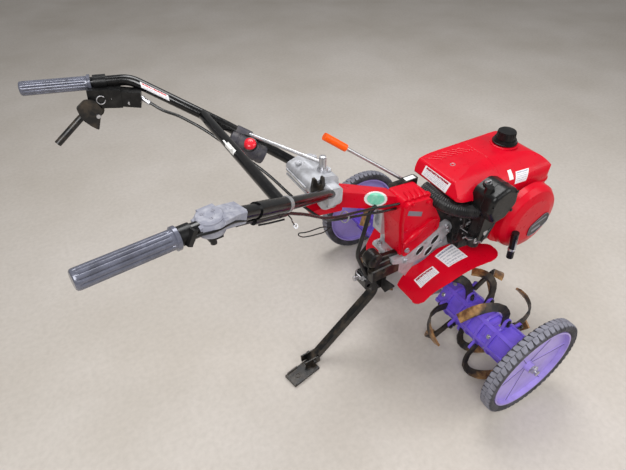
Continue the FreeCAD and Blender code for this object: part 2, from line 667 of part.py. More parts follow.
def pivot_pin():
    return barrel(PIVOT_PIN_R, -52, 52, PIVOT_X, PIVOT_Z)


# Handle line on the left side, from the clamp to the rear of the grip; the right side mirrors it
HANDLE_LINE = ((-448.0, 56.0, 708.0), (-600.0, 172.0, 813.0), (-772.0, 283.3, 921.8),
               (GRIP_REAR_X + 5.0, 319.2, 932.7))
HANDLE_BENDS = (500.0, 60.0)
CLAMP_RUN = (HANDLE_LINE[1], HANDLE_LINE[0])
LOWER_RUN = (HANDLE_LINE[2], HANDLE_LINE[1])
UPPER_RUN = (HANDLE_LINE[2], HANDLE_LINE[3])


def on_run(run, x, side, offset=(0.0, 0.0, 0.0)):
    """Point of a straight run of the handle at a given length, with an offset."""
    (xa, ya, za), (xb, yb, zb) = run
    share = (x - xa) / (xb - xa)
    return (x + offset[0], (ya + (yb - ya) * share) * side + offset[1], za + (zb - za) * share + offset[2])


def tube_body(side):
    return bent_rod(sided(HANDLE_LINE, side), HANDLE_BENDS, TUBE_R)


def handle_tube(side):
    return bent_tube(sided(HANDLE_LINE, side), HANDLE_BENDS, TUBE_R, TUBE_WALL)


def grip(side):
    """Moulded grip: plain barrel with a flange in front and a domed rear end."""
    front_x = GRIP_REAR_X + GRIP_LENGTH
    rear, front = on_run(UPPER_RUN, GRIP_REAR_X - 10, side), on_run(UPPER_RUN, front_x, side)
    flange = on_run(UPPER_RUN, front_x - 6, side)
    behind = box((GRIP_REAR_X - 40, GRIP_REAR_X), (-500, 500), (PIVOT_Z, 2 * PIVOT_Z))
    return fuse([rod(rear, front, GRIP_R), rod(flange, front, GRIP_R + 3)]).cut(tube_body(side)).cut(behind)


def clamp_block():
    """Casting that holds both tubes, with two ears that hang on the pivot pin outside the post."""
    ear_in = POST_WIDTH / 2 + CLEARANCE
    ears = [side_plate([(PIVOT_X - 24, PIVOT_Z - 24, 22), (PIVOT_X + 22, PIVOT_Z - 24, 22),
                        (PIVOT_X + 24, PIVOT_Z + 50, 8), (PIVOT_X - 36, PIVOT_Z + 50, 8)], s * ear_in,
                        s * (ear_in + 12))
            for s in (RIGHT, LEFT)]
    top = side_plate([(PIVOT_X - 52, PIVOT_Z + 32, 12), (PIVOT_X + 18, PIVOT_Z + 32, 10),
                      (PIVOT_X + 22, PIVOT_Z + 66, 14),
                      (PIVOT_X - 20, PIVOT_Z + 74, 18), (PIVOT_X - 60, PIVOT_Z + 62, 12)], -44, 68)
    lug = side_plate([(PIVOT_X - 24, PIVOT_Z + 10, 8), (PIVOT_X + 12, PIVOT_Z + 10, 8),
                      (PIVOT_X + 14, PIVOT_Z + 54, 10),
                      (PIVOT_X - 24, PIVOT_Z + 58, 10)], -74, -40)
    solid = fuse(ears + [top, lug])
    bore = barrel(PIVOT_PIN_R + RUNNING_FIT, -90, 90, PIVOT_X, PIVOT_Z)
    return solid.cut(tube_body(LEFT)).cut(tube_body(RIGHT)).cut(bore)


def clamp_latch():
    """Forked latch on the right of the casting."""
    return side_plate([(-500, 708, 6), (-470, 706, 6), (-466, 726, 3), (-468, 756, 3), (-474, 756, 3),
                       (-477, 738, 3),
                       (-485, 738, 3), (-489, 758, 3), (-496, 758, 3), (-500, 734, 3)], -52,
                       -44).cut(clamp_block())


BOLT_AT = (-452.0, -16.0)


def lock_rod():
    """Spring bolt on the casting and the rod that pulls it from the left tube."""
    x, y = BOLT_AT
    nut = Part.makeCylinder(13, 14, V(x, y, PIVOT_Z + 66))
    stud = Part.makeCylinder(8.5, 26, V(x, y, PIVOT_Z + 80))
    pull = rod(on_run(CLAMP_RUN, -560, LEFT, (0, 0, TUBE_R - 2)), (x, y, PIVOT_Z + 92), 4.5)
    return fuse([nut, stud, pull]).cut(tube_body(LEFT)).cut(clamp_block())


def crossbar():
    """Tie bar between the tubes with a welded gusset at the left."""
    right, left = (on_run(LOWER_RUN, CROSSBAR_X, side) for side in (RIGHT, LEFT))
    bar = rod(right, left, CROSSBAR_R)
    corner, down = V(*left), V(*on_run(LOWER_RUN, CROSSBAR_X + 62, LEFT))
    inward = corner + V(0, -70, 0)
    outline = Part.Face(Part.makePolygon([corner, down, inward, corner]))
    web = outline.extrude((down - corner).cross(inward - corner).normalize() * 4)
    return fuse([bar, web]).cut(tube_body(LEFT)).cut(tube_body(RIGHT)).Solids[0]


def tube_sleeve():
    """Rubber sleeve round the right tube and the cables beside it."""
    run = [on_run(LOWER_RUN, x, RIGHT) for x in SLEEVE_ENDS]
    low = [on_run(LOWER_RUN, x, RIGHT, CABLE_BELOW) for x in SLEEVE_ENDS]
    solid = fuse([rod(run[0], run[1], SLEEVE_R), rod(low[0], low[1], CABLE_R + 4)])
    return solid.cut(tube_body(RIGHT)).cut(crossbar())


# Controls on the handle
def clutch_housing():
    """Lever bracket and switch body clamped under the left tube, in front of the grip."""
    rear = beam(on_run(UPPER_RUN, -866, LEFT, (0, -16, -24)), on_run(UPPER_RUN, -800, LEFT, (0, -20, -28)),
                34, 40)
    front = beam(on_run(UPPER_RUN, -806, LEFT, (0, -20, -28)),
                 on_run(LOWER_RUN, HOUSING_FRONT_X, LEFT, HOUSING_BELOW), 30, 34)
    strap = rod(on_run(UPPER_RUN, -846, LEFT), on_run(UPPER_RUN, -820, LEFT), TUBE_R + 4)
    return fuse([rear, front, strap]).cut(tube_body(LEFT)).cut(grip(LEFT))


def clutch_lever():
    foot = on_run(UPPER_RUN, -860, LEFT, (0, -20, -46))
    points = [foot, (foot[0] - 34, foot[1] - 5, foot[2] - 16), (foot[0] - 96, foot[1] - 14, foot[2] - 58)]
    cam = barrel(16, foot[1] - 5, foot[1] + 5, foot[0] + 2, foot[2] - 6)
    return fuse([bent_rod(points, [24], 7.5), cam]).cut(clutch_housing())


def switch_box():
    """Switch body hung under the left tube behind the clamp."""
    a, b = (on_run(LOWER_RUN, x, LEFT, (0, -16, -24)) for x in (-606, -542))
    back = rod(*(on_run(LOWER_RUN, x, LEFT, (0, -20, -28)) for x in (-602, -546)), 21)
    return fuse([beam(a, b, 40, 28), back]).cut(tube_body(LEFT)).cut(crossbar()).Solids[0]


def switch_rocker():
    a, b = (on_run(LOWER_RUN, x, LEFT, (0, -32, -8)) for x in (-583, -560))
    return beam(a, b, 20, 26).cut(tube_body(LEFT)).cut(switch_box()).cut(lock_rod()).Solids[0]


def throttle_housing():
    """Moulded throttle body on top of the right tube."""
    form = side_plate([(-822, 918, 5), (-820, 940, 9), (-790, 945, 12), (-758, 925, 6), (-760, 908, 5),
                       (-788, 910, 6)],
                      -298, -264)
    dome = Part.makeCone(25, 20, 16, V(-800, -284, 928))
    return fuse([form, dome]).cut(tube_body(RIGHT))


def throttle_clamp():
    """Lower half of the throttle's clamp with its screw."""
    a, b = on_run(UPPER_RUN, -812, RIGHT, (0, 0, -9)), on_run(UPPER_RUN, -790, RIGHT, (0, 0, -10))
    screw = rod(on_run(UPPER_RUN, -801, RIGHT, (0, 0, -18)), on_run(UPPER_RUN, -801, RIGHT, (0, 0, -36)), 5)
    return fuse([beam(a, b, 28, 20), screw]).cut(throttle_housing()).cut(tube_body(RIGHT))


def throttle_lever():
    """Thumb lever on a collar between the grip and the throttle body."""
    rear_x = GRIP_REAR_X + GRIP_LENGTH
    a, b = (on_run(UPPER_RUN, x, RIGHT) for x in (rear_x + 1, -832))
    paddle = beam(on_run(UPPER_RUN, -842, RIGHT, (0, -15, -8)), on_run(UPPER_RUN, -829, RIGHT, (0, -12, 12)),
                  10, 8)
    return fuse([rod(a, b, 14.5), paddle]).cut(tube_body(RIGHT)).cut(throttle_housing())


# Cables between the handle and the machine, in points joined by even arcs
THROTTLE_CABLE = (on_run(LOWER_RUN, SLEEVE_ENDS[1] + 1.1, RIGHT, CABLE_BELOW), (-566, -146, 752),
                  (-508, -112, 696),
                  (-446, -84, 656), (-380, -62, 630), (-312, -46, 606), (-262, -42, 592),
                  (UPPER_REAR_X - 2, -40, 584))
CLUTCH_CABLE = (on_run(LOWER_RUN, HOUSING_FRONT_X, LEFT, (2.5, -23, -29)),
                on_run(LOWER_RUN, HOUSING_FRONT_X + 34, LEFT, (0, -33, -38)),
                on_run(LOWER_RUN, -700, LEFT, (0, -32, -44)), (-660, 168, 806), (-612, 122, 782),
                (-560, 60, 740),
                (-514, -14, 676), (-470, -60, 636), (-402, -50, 612), (-334, -40, 590), (-272, -34, 572),
                (UPPER_REAR_X - 2, -30, 562))


def upper_cable():
    """Throttle cable along the right tube, from the throttle body to the sleeve."""
    a, b = on_run(LOWER_RUN, -752, RIGHT, CABLE_BELOW), on_run(LOWER_RUN, SLEEVE_ENDS[0] + 1, RIGHT,
                                                               CABLE_BELOW)
    return rod(a, b, CABLE_R).cut(throttle_housing()).cut(tube_sleeve())


def throttle_cable():
    return bent_rod(THROTTLE_CABLE, even_radii(THROTTLE_CABLE), CABLE_R)


def clutch_cable():
    return bent_rod(CLUTCH_CABLE, even_radii(CLUTCH_CABLE), CABLE_R)


# Drag stake, its holder and the flap beside it
def hitch_bracket():
    half = HOLDER_HALF
    body = side_plate([(STAKE_X - half, HOLDER_BASE_Z, 6), (STAKE_X + half, HOLDER_BASE_Z, 6),
                       (STAKE_X + half, HOLDER_TOP_Z, 6), (STAKE_X - half, HOLDER_TOP_Z, 20)], -half, half)
    arm = box((STAKE_X + half - 4, CASE_REAR_X), (-22, 22), (HOLDER_TOP_Z - 56, HOLDER_TOP_Z))
    ear = side_plate([(HOLDER_REAR_X, HOLDER_BASE_Z + 20, 8), (STAKE_X, HOLDER_BASE_Z + 20, 0),
                      (STAKE_X, HOLDER_BASE_Z + 60, 0), (HOLDER_REAR_X, HOLDER_BASE_Z + 60, 8)], -half, half)
    slot_half = STAKE_SIDE / 2 + SEAT_GAP
    slot = box((STAKE_X - slot_half, STAKE_X + slot_half), (-slot_half, slot_half), (0, 600))
    hole = barrel(HITCH_HOLE_R, -half - 1, half + 1, HITCH_HOLE_X, HITCH_HOLE_Z)
    return fuse([body, arm, ear]).cut(slot).cut(hole).cut(gear_case())


def hitch_pin():
    """Clamping screw in the rear of the holder."""
    z = HOLDER_BASE_Z + 50
    shank = rod((HOLDER_REAR_X - 14, 6, z), (HOLDER_REAR_X, 6, z), 5)
    head = rod((HOLDER_REAR_X - 20, 6, z), (HOLDER_REAR_X - 14, 6, z), 8)
    return fuse([shank, head])


def mud_flap():
    return end_plate([(-HOLDER_HALF, 300, 0), (-86, 314, 3), (-48, 254, 3), (-HOLDER_HALF, 258, 0)],
                     STAKE_X + 10, STAKE_X + 14)


def drag_stake():
    half = STAKE_SIDE / 2
    points = [(STAKE_X, 0, STAKE_TOP_Z), (STAKE_X, 0, STAKE_BEND_Z), (STAKE_FOOT_X, 0, 12)]
    corners = [V(STAKE_X + i * half, j * half, STAKE_TOP_Z) for i, j in ((-1, -1), (1, -1), (1, 1), (-1, 1))]
    bar = sweep(points, [40], Part.makePolygon(corners + corners[:1]))
    return bar.cut(box((SHOE_REAR_X - 100, 0), (-SHOE_WIDTH, SHOE_WIDTH), (-60, SHOE_THICK)))


def stake_shoe():
    """Foot plate with the two ears and the bolt that hold it to the stake."""
    half = STAKE_SIDE / 2
    ears = [side_plate([(-498, SHOE_THICK - 2, 0), (-450, SHOE_THICK - 2, 0), (-456, 38, 8), (-490, 38, 8)],
                       s * (half + 0.5), s * (half + 5)) for s in (RIGHT, LEFT)]
    heads = [barrel(8, s * (half + 4), s * (half + 11), -473, 24) for s in (RIGHT, LEFT)]
    plate = side_plate([(SHOE_REAR_X, 0, 3), (SHOE_FRONT_X, 0, 3), (SHOE_FRONT_X, SHOE_THICK, 3),
                       (SHOE_REAR_X, SHOE_THICK, 3)], -SHOE_WIDTH / 2, SHOE_WIDTH / 2)
    return fuse([plate] + ears + heads).cut(drag_stake())


# Shift lever
def shift_gate():
    """Slotted plate on the side case that guides the shift lever."""
    plate = plan_plate([(-176, UPPER_LEFT_Y, 4), (-104, UPPER_LEFT_Y, 4), (-104, 76, 8), (-176, 76, 8)], 556,
                       562)
    leg = box((-168, -140), (UPPER_LEFT_Y, UPPER_LEFT_Y + 5), (536, 558))
    slot = box((-160, -128), (46, 56), (550, 570))
    housing = plan_plate([(-160, UPPER_LEFT_Y, 4), (-112, UPPER_LEFT_Y, 4), (-112, 44, 8), (-160, 44, 8)],
                         562, 594)
    return fuse([plate, leg, housing]).cut(slot).cut(transmission_case()).cut(side_case()).cut(engine_cover())


def shift_lever():
    split = share_point(SHIFT_FOOT, SHIFT_TIP, SHIFT_GRIP_SHARE)
    return rod(SHIFT_FOOT, split, SHIFT_ROD_R).cut(shift_gate()).cut(engine_cover()).Solids[0]


def shift_grip():
    return rod(share_point(SHIFT_FOOT, SHIFT_TIP, SHIFT_GRIP_SHARE), SHIFT_TIP, SHIFT_GRIP_R)


NODES = {make.__name__: make for make in (
    gear_case, engine_bed, transmission_case, case_cover, side_case, engine_block, fan_shroud, recoil_starter,
    starter_handle, fuel_tank, fuel_cap, engine_cover, air_cleaner, intake_duct, carburettor, muffler,
    handle_post, pivot_pin, hitch_bracket, hitch_pin, mud_flap, shift_gate, shift_lever, shift_grip,
    drag_stake,
    stake_shoe, rotor_axle, clamp_block, clamp_latch, lock_rod, crossbar, tube_sleeve, clutch_housing,
    clutch_lever, switch_box, switch_rocker, throttle_housing, throttle_clamp, throttle_lever, upper_cable,
    throttle_cable, clutch_cable)}
SIDED_NODES = {make.__name__ + "_" + word: (make, side) for word, side in SIDES
               for make in (tyre, wheel_disc, drum, tines, fender, handle_tube, grip)}

if not os.path.isdir("parts"):
    os.makedirs("parts")
shapes = {node: make() for node, make in NODES.items()}
shapes.update({node: make(side) for node, (make, side) in SIDED_NODES.items()})
for node, shape in shapes.items():
    shape.translate(V(-CENTRE_X, 0, 0))
    shape.exportStep("parts/" + node + ".step")
    print(node, "solids", len(shape.Solids), "valid", shape.isValid(), "volume", round(shape.Volume))
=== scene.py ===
"""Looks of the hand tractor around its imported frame: finishes, cables, small parts, light and camera.

Lengths are millimetres about the axle's middle on the floor, as in the part's source, and at() turns
them into scene points. X points forward to the engine, Y to the left, Z up.
"""
import bmesh
import bpy
import json
from math import cos, hypot, pi, radians, sin, sqrt, tan
from mathutils import Matrix, Vector
from mathutils.bvhtree import BVHTree


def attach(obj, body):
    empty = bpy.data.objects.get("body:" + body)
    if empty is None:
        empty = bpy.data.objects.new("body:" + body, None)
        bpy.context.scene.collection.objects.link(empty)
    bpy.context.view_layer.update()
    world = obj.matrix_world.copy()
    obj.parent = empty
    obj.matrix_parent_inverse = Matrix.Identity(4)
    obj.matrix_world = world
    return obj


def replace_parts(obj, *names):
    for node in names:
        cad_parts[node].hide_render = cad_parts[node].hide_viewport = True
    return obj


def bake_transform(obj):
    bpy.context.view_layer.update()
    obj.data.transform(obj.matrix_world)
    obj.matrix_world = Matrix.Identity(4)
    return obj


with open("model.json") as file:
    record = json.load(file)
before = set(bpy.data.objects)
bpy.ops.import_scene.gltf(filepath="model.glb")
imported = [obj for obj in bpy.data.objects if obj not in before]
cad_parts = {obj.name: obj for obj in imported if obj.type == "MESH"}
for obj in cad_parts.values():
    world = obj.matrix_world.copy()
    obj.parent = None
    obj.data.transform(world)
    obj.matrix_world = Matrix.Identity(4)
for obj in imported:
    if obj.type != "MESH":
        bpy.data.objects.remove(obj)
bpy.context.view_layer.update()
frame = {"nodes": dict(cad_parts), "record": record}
NODES = frame["nodes"]

CENTRE_X = -344.5
AXLE_Z = 170.0
RIGHT, LEFT = -1, 1
UP, TO_RIGHT, TO_LEFT = (0, 0, 1), (0, -1, 0), (0, 1, 0)
SIDES = (("right", RIGHT), ("left", LEFT))
TRACK_HALF = 428.0
TYRE_R = 170.0


def at(x, y, z):
    """Scene point in metres from millimetres about the axle's middle on the floor."""
    return Vector(((x - CENTRE_X) / 1000, y / 1000, z / 1000))


# Finishes
def srgb(red, green, blue):
    """Linear colour from the usual 0 to 255 values."""
    channels = [c / 255 for c in (red, green, blue)]
    return [c / 12.92 if c <= 0.04045 else ((c + 0.055) / 1.055) ** 2.4 for c in channels] + [1.0]


def new_finish(name):
    """Material with its node tree and shader."""
    material = bpy.data.materials.new(name)
    material.use_nodes = True
    tree = material.node_tree
    return material, tree, tree.nodes["Principled BSDF"]


def put(tree, node, inputs):
    """Values, or other nodes' outputs, into a node's sockets."""
    for socket, value in inputs.items():
        if isinstance(value, bpy.types.NodeSocket):
            tree.links.new(value, node.inputs[socket])
        else:
            node.inputs[socket].default_value = value


def add_node(tree, kind, inputs, **settings):
    """Node of a kind with its settings and inputs."""
    node = tree.nodes.new(kind)
    for key, value in settings.items():
        setattr(node, key, value)
    put(tree, node, inputs)
    return node


def noise(tree, scale, detail=4.0, roughness=0.55):
    place = add_node(tree, "ShaderNodeTexCoord", {}).outputs["Object"]
    return add_node(tree, "ShaderNodeTexNoise", {"Vector": place, "Scale": scale, "Detail": detail,
                                                 "Roughness": roughness}).outputs["Fac"]


def calc(tree, operation, *values):
    """Values joined by a maths operation, from left to right."""
    total = values[0]
    for value in values[1:]:
        total = add_node(tree, "ShaderNodeMath", {0: total, 1: value}, operation=operation).outputs[0]
    return total


def remap(tree, value, low, high, to_low=0.0, to_high=1.0):
    return add_node(tree, "ShaderNodeMapRange", {"Value": value, "From Min": low, "From Max": high,
                                                 "To Min": to_low, "To Max": to_high}).outputs["Result"]


def mixed(tree, factor, first, second):
    return add_node(tree, "ShaderNodeMix", {0: factor, 6: first, 7: second}, data_type="RGBA").outputs[2]


def bumped(tree, shader, height, strength, distance):
    bump = add_node(tree, "ShaderNodeBump", {"Height": height, "Strength": strength, "Distance": distance})
    tree.links.new(bump.outputs["Normal"], shader.inputs["Normal"])


def finish(name, colour, rough, dirt_and_sheen, dirt_and_sheen_amount, dirt_and_sheen_scale, metal=0.0, coat=0.0, specular=0.4, grain=0.05,
           grain_scale=900.0, grain_depth=0.0002):
    """Surface of one colour with patches of a second colour, uneven gloss and a fine grain; the patches are
    mostly dirt, and on grey_plastic they are painted highlight.
    """
    material, tree, shader = new_finish(name)
    patches = remap(tree, noise(tree, dirt_and_sheen_scale), 0.45, 0.8, 0.0, dirt_and_sheen_amount)
    base = mixed(tree, patches, srgb(*colour), srgb(*dirt_and_sheen))
    gloss = remap(tree, noise(tree, dirt_and_sheen_scale * 2.3), 0.3, 0.7, rough - 0.05, rough + 0.1)
    put(tree, shader, {"Base Color": base, "Roughness": gloss, "Metallic": metal,
                       "Specular IOR Level": specular,
                       "Coat Weight": coat, "Coat Roughness": 0.08})
    bumped(tree, shader, noise(tree, grain_scale, 3.0), grain, grain_depth)
    return material


# Name, colour, roughness, colour of the patches (dirt, and on grey_plastic painted highlight), their amount
# and the scale of the patches, and what else differs
FINISH_ROWS = (
    ("red_paint", (206, 6, 34), 0.3, (160, 16, 34), 0.35, 18,
     dict(coat=0.1, specular=0.15, grain_scale=160, grain_depth=0.001)),
    ("cast_aluminium", (196, 197, 202), 0.42, (88, 84, 80), 0.5, 45,
     dict(metal=0.5, grain=0.5, grain_scale=600, grain_depth=0.0008)),
    ("engine_black", (34, 34, 36), 0.45, (120, 115, 108), 0.35, 60,
     dict(metal=0.3, grain=0.3, grain_scale=500)),
    ("black_paint", (6, 6, 8), 0.16, (60, 56, 52), 0.2, 30, dict(coat=0.2, grain=0.02)),
    ("worn_black", (16, 15, 15), 0.36, (104, 90, 74), 0.45, 45, dict(coat=0.1, grain=0.2, grain_scale=400)),
    ("black_plastic", (10, 10, 11), 0.3, (74, 72, 70), 0.25, 35,
     dict(specular=0.35, grain=0.15, grain_scale=1400)),
    # Near-white patches on the grey plastic are painted highlight, standing for the light streaks along the
    # throttle body
    ("grey_plastic", (134, 135, 147), 0.5, (206, 206, 210), 0.5, 80,
     dict(specular=0.3, grain=0.25, grain_scale=600)),
    ("switch_grey", (62, 60, 68), 0.45, (120, 114, 106), 0.45, 60, dict()),
    ("red_plastic", (224, 26, 46), 0.28, (150, 60, 60), 0.3, 18, dict(coat=0.4)),
    ("black_rubber", (14, 14, 16), 0.35, (84, 80, 78), 0.35, 50,
     dict(specular=0.35, grain=0.2, grain_scale=800)),
    # Pale lavender grey of the grips is painted reflection of the sky on black rubber; the darker patches are
    # nearer the rubber's own black
    ("grip_rubber", (104, 106, 120), 0.24, (40, 40, 44), 0.6, 40, dict(metal=0.3, coat=0.4, grain=0.1)),
    ("cable_sheath", (12, 12, 14), 0.25, (70, 66, 62), 0.2, 18, dict(coat=0.4)),
    ("clear_sleeve", (150, 150, 152), 0.2, (90, 88, 86), 0.5, 18, dict(coat=0.6)),
    ("bare_steel", (196, 196, 200), 0.3, (120, 100, 76), 0.35, 90,
     dict(metal=0.85, grain=0.1, grain_scale=1200)),
    ("purple_paint", (116, 90, 212), 0.3, (66, 48, 124), 0.45, 24,
     dict(coat=0.2, grain=0.06, grain_scale=200, grain_depth=0.001)),
    ("lilac_paint", (172, 154, 224), 0.34, (104, 92, 150), 0.4, 20,
     dict(coat=0.15, grain=0.06, grain_scale=200, grain_depth=0.001)),
    # Dark purple for the lines along the wheel discs' creases: painted shade in the folds, with some dirt
    ("crease_shade_and_dirt", (44, 34, 74), 0.6, (120, 110, 95), 0.1, 18, dict()),
    ("orange_plastic", (250, 92, 6), 0.35, (200, 84, 30), 0.4, 18, dict(coat=0.1, specular=0.25)),
    # Near-black for the openings of the drive case's flange: painted shade
    ("hole_shade_black", (10, 10, 11), 0.7, (120, 110, 95), 0.1, 18, dict()),
    ("white_label", (232, 232, 230), 0.4, (190, 186, 176), 0.4, 60, dict()),
    ("teal_label", (118, 206, 176), 0.4, (196, 226, 212), 0.7, 90, dict()),
    ("badge_black", (34, 36, 40), 0.35, (80, 80, 84), 0.4, 18, dict(coat=0.3)),
    ("plate_grey", (150, 150, 160), 0.35, (90, 88, 92), 0.4, 18, dict(metal=0.6)),
)
FINISHES = {name: finish(name, *values, **others) for name, *values, others in FINISH_ROWS}


def radius_about_axle(tree):
    """Distance from the wheel axis, in metres, at each point of a surface."""
    place = add_node(tree, "ShaderNodeTexCoord", {}).outputs["Object"]
    centre = at(0, 0, AXLE_Z)
    moved = add_node(tree, "ShaderNodeVectorMath", {0: place, 1: (centre.x, 0, centre.z)},
                     operation="SUBTRACT")
    flat = add_node(tree, "ShaderNodeVectorMath", {0: moved.outputs[0], 1: (1, 0, 1)}, operation="MULTIPLY")
    return add_node(tree, "ShaderNodeVectorMath", {0: flat.outputs[0]}, operation="LENGTH").outputs["Value"]


def tyre_finish():
    """Dark sidewall, and a crown that is pale with dust."""
    material, tree, shader = new_finish("tyre_rubber")
    dusty = remap(tree, radius_about_axle(tree), 0.1655, 0.1685)
    patchy = remap(tree, noise(tree, 60.0), 0.3, 0.62, 0.55, 1.0)
    amount = calc(tree, "MULTIPLY", dusty, patchy)
    side = mixed(tree, remap(tree, noise(tree, 26.0), 0.4, 0.75), srgb(54, 53, 58), srgb(88, 86, 92))
    put(tree, shader, {"Base Color": mixed(tree, amount, side, srgb(132, 132, 144)), "Roughness": 0.75})
    bumped(tree, shader, noise(tree, 500.0), 0.3, 0.0006)
    return material


def tine_finish():
    """Dark forged steel that soil has worn to rusty gold towards the tips."""
    material, tree, shader = new_finish("tine_steel")
    wear = add_node(tree, "ShaderNodeAttribute", {}, attribute_name="wear").outputs["Fac"]
    ragged = calc(tree, "ADD", wear, remap(tree, noise(tree, 34.0, 6.0), 0.3, 0.7, -0.16, 0.16))
    rusty = mixed(tree, remap(tree, noise(tree, 46.0, 6.0), 0.35, 0.65), srgb(196, 152, 98),
                  srgb(104, 70, 48))
    dark = mixed(tree, remap(tree, noise(tree, 45.0), 0.4, 0.8), srgb(34, 32, 33), srgb(78, 66, 54))
    put(tree, shader, {"Base Color": mixed(tree, remap(tree, ragged, 0.34, 0.74), dark, rusty),
                       "Roughness": remap(tree, ragged, 0.3, 0.7, 0.5, 0.36), "Metallic": 0.45})
    bumped(tree, shader, noise(tree, 300.0), 0.35, 0.0008)
    return material


def label_finish(name, header, header_share, rows):
    """White sticker with a coloured band along its top and broken grey rules below it."""
    material, tree, shader = new_finish(name)
    place = add_node(tree, "ShaderNodeUVMap", {}, uv_map="label").outputs["UV"]
    axes = add_node(tree, "ShaderNodeSeparateXYZ", {0: place}).outputs
    across_u, up_v = axes["X"], axes["Y"]
    stretched = add_node(tree, "ShaderNodeMapping", {0: place, 3: (26.0, float(rows), 1.0)}).outputs[0]
    words = add_node(tree, "ShaderNodeTexNoise",
                     {"Vector": stretched, "Scale": 1.0, "Detail": 1.0}).outputs[0]
    sides = calc(tree, "MULTIPLY", remap(tree, across_u, 0.05, 0.07),
                 remap(tree, across_u, 0.92, 0.94, 1.0, 0.0))
    foot, head = 0.94 - header_share, 0.86 - header_share
    band = calc(tree, "MULTIPLY", remap(tree, up_v, foot, foot + 0.01),
                remap(tree, up_v, 0.92, 0.93, 1.0, 0.0),
                sides, remap(tree, words, 0.36, 0.4))
    line = calc(tree, "MULTIPLY", up_v, float(rows))
    rule = calc(tree, "LESS_THAN", add_node(tree, "ShaderNodeMath", {0: line}, operation="FRACT").outputs[0],
                0.5)
    faint = calc(tree, "MULTIPLY", rule, sides, remap(tree, words, 0.42, 0.46), remap(tree, up_v, 0.04, 0.05),
                 remap(tree, up_v, head, head + 0.01, 1.0, 0.0))
    paper = mixed(tree, remap(tree, faint, 0.0, 1.0, 0.0, 0.5), srgb(232, 230, 232), srgb(104, 112, 136))
    put(tree, shader, {"Base Color": mixed(tree, band, paper, srgb(*header)), "Roughness": 0.35})
    return material


FINISHES["tyre_rubber"] = tyre_finish()
FINISHES["tine_steel"] = tine_finish()
for name, header, header_share, rows in (("red_label", (150, 18, 40), 0.22, 7),
                                         ("plain_label", (150, 152, 170), 0.12, 6),
                                         ("strip_label", (196, 50, 56), 0.3, 3)):
    FINISHES[name] = label_finish(name, header, header_share, rows)

# Nodes that look otherwise than their slot in the record
NODE_FINISHES = {
    "engine_black": ("engine_block", "carburettor"), "cast_aluminium": ("muffler",),
    "black_paint": ("tube_sleeve",),
    "worn_black": ("drag_stake", "stake_shoe", "shift_gate", "clamp_latch", "clutch_lever"),
    "switch_grey": ("switch_box",), "grip_rubber": ("grip_right", "grip_left"),
}
finish_of = {row["node"]: row["material_slot"] for row in frame["record"]["subparts"]}
finish_of.update({member: slot for slot, members in NODE_FINISHES.items() for member in members})
for member, finish_name in finish_of.items():
    NODES[member].data.materials.clear()
    NODES[member].data.materials.append(FINISHES[finish_name])


def smooth_by_angle(obj, degrees=32):
    for polygon in obj.data.polygons:
        polygon.use_smooth = True
    obj.data.set_sharp_from_angle(angle=radians(degrees))


for node in NODES.values():
    smooth_by_angle(node)


# Mesh helpers: each adds a form to a bmesh, and publish turns the bmesh into a piece
def across(axis):
    """Two directions square to an axis and to each other."""
    aside = Vector(UP) if abs(axis.z) < 0.9 else Vector((1, 0, 0))
    first = axis.cross(aside).normalized()
    return first, axis.cross(first)


def around(count, first=0.0):
    """Evenly spaced angles of a full turn."""
    return [first + 2 * pi * k / count for k in range(count)]


def collar(inner, outer, height, base=0):
    """Profile of a plain ring."""
    return [(inner, base), (outer, base), (outer, height), (inner, height), (inner, base)]


def add_skin(form, rows, closed=True):
    """Faces between neighbouring rows of vertices of one length; closed joins each row's ends."""
    count = len(rows[0])
    for low, high in zip(rows, rows[1:]):
        for k in range(count if closed else count - 1):
            form.faces.new([low[k], low[(k + 1) % count], high[(k + 1) % count], high[k]])


def add_rings(form, centres, directions, radii, sides):
    """Skin over rings of one count of sides; a radius of nought closes to a point."""
    rings = []
    first, second = across(directions[0])
    for centre, direction, radius in zip(centres, directions, radii):
        first = (first - direction * first.dot(direction)).normalized()
        second = direction.cross(first)
        if radius <= 0:
            rings.append([form.verts.new(centre)])
            continue
        rings.append([form.verts.new(centre + (first * cos(a) + second * sin(a)) * radius)
                      for a in around(sides)])
    for low, high in zip(rings, rings[1:]):
        for k in range(sides):
            corners = [low[k % len(low)], low[(k + 1) % len(low)], high[(k + 1) % len(high)],
                       high[k % len(high)]]
            corners = list(dict.fromkeys(corners))
            if len(corners) > 2:
                form.faces.new(corners)


def turned(form, base, axis, profile, sides=24):
    """Turned piece: profile is (radius, height) pairs in mm from the base along the axis."""
    axis = Vector(axis).normalized()
    centres = [at(*base) + axis * (height / 1000) for _, height in profile]
    add_rings(form, centres, [axis] * len(profile), [radius / 1000 for radius, _ in profile], sides)


def pipe(form, line, radius, sides=10):
    """Round pipe along scene points, closed at its ends; radius is one value or one for each point."""
    radii = [radius] * len(line) if isinstance(radius, (int, float)) else list(radius)
    directions = [(line[min(i + 1, len(line) - 1)] - line[max(i - 1, 0)]).normalized()
                  for i in range(len(line))]
    centres = [line[0]] + list(line) + [line[-1]]
    directions = [directions[0]] + directions + [directions[-1]]
    add_rings(form, centres, directions, [0] + [r / 1000 for r in radii] + [0], sides)


def bolt(form, base, axis, across_flats=10.0, height=6.0, washer=1.5):
    """Hexagon head with its chamfer on a washer."""
    corner = across_flats / sqrt(3)
    turned(form, base, axis, [(0, 0), (corner * 1.35, 0), (corner * 1.35, washer), (0, washer)], 20)
    turned(form, base, axis, [(corner, washer), (corner, washer + height * 0.8),
                                  (corner * 0.86, washer + height), (0, washer + height)], 6)


def plate(form, outline, thickness):
    """Flat plate from scene points in order, thickened both ways along its normal."""
    normal = (outline[1] - outline[0]).cross(outline[2] - outline[1]).normalized() * (thickness / 2000)
    upper = [form.verts.new(p + normal) for p in outline]
    lower = [form.verts.new(p - normal) for p in outline]
    form.faces.new(upper)
    form.faces.new(lower[::-1])
    for k in range(len(outline)):
        j = (k + 1) % len(outline)
        form.faces.new([upper[j], upper[k], lower[k], lower[j]])


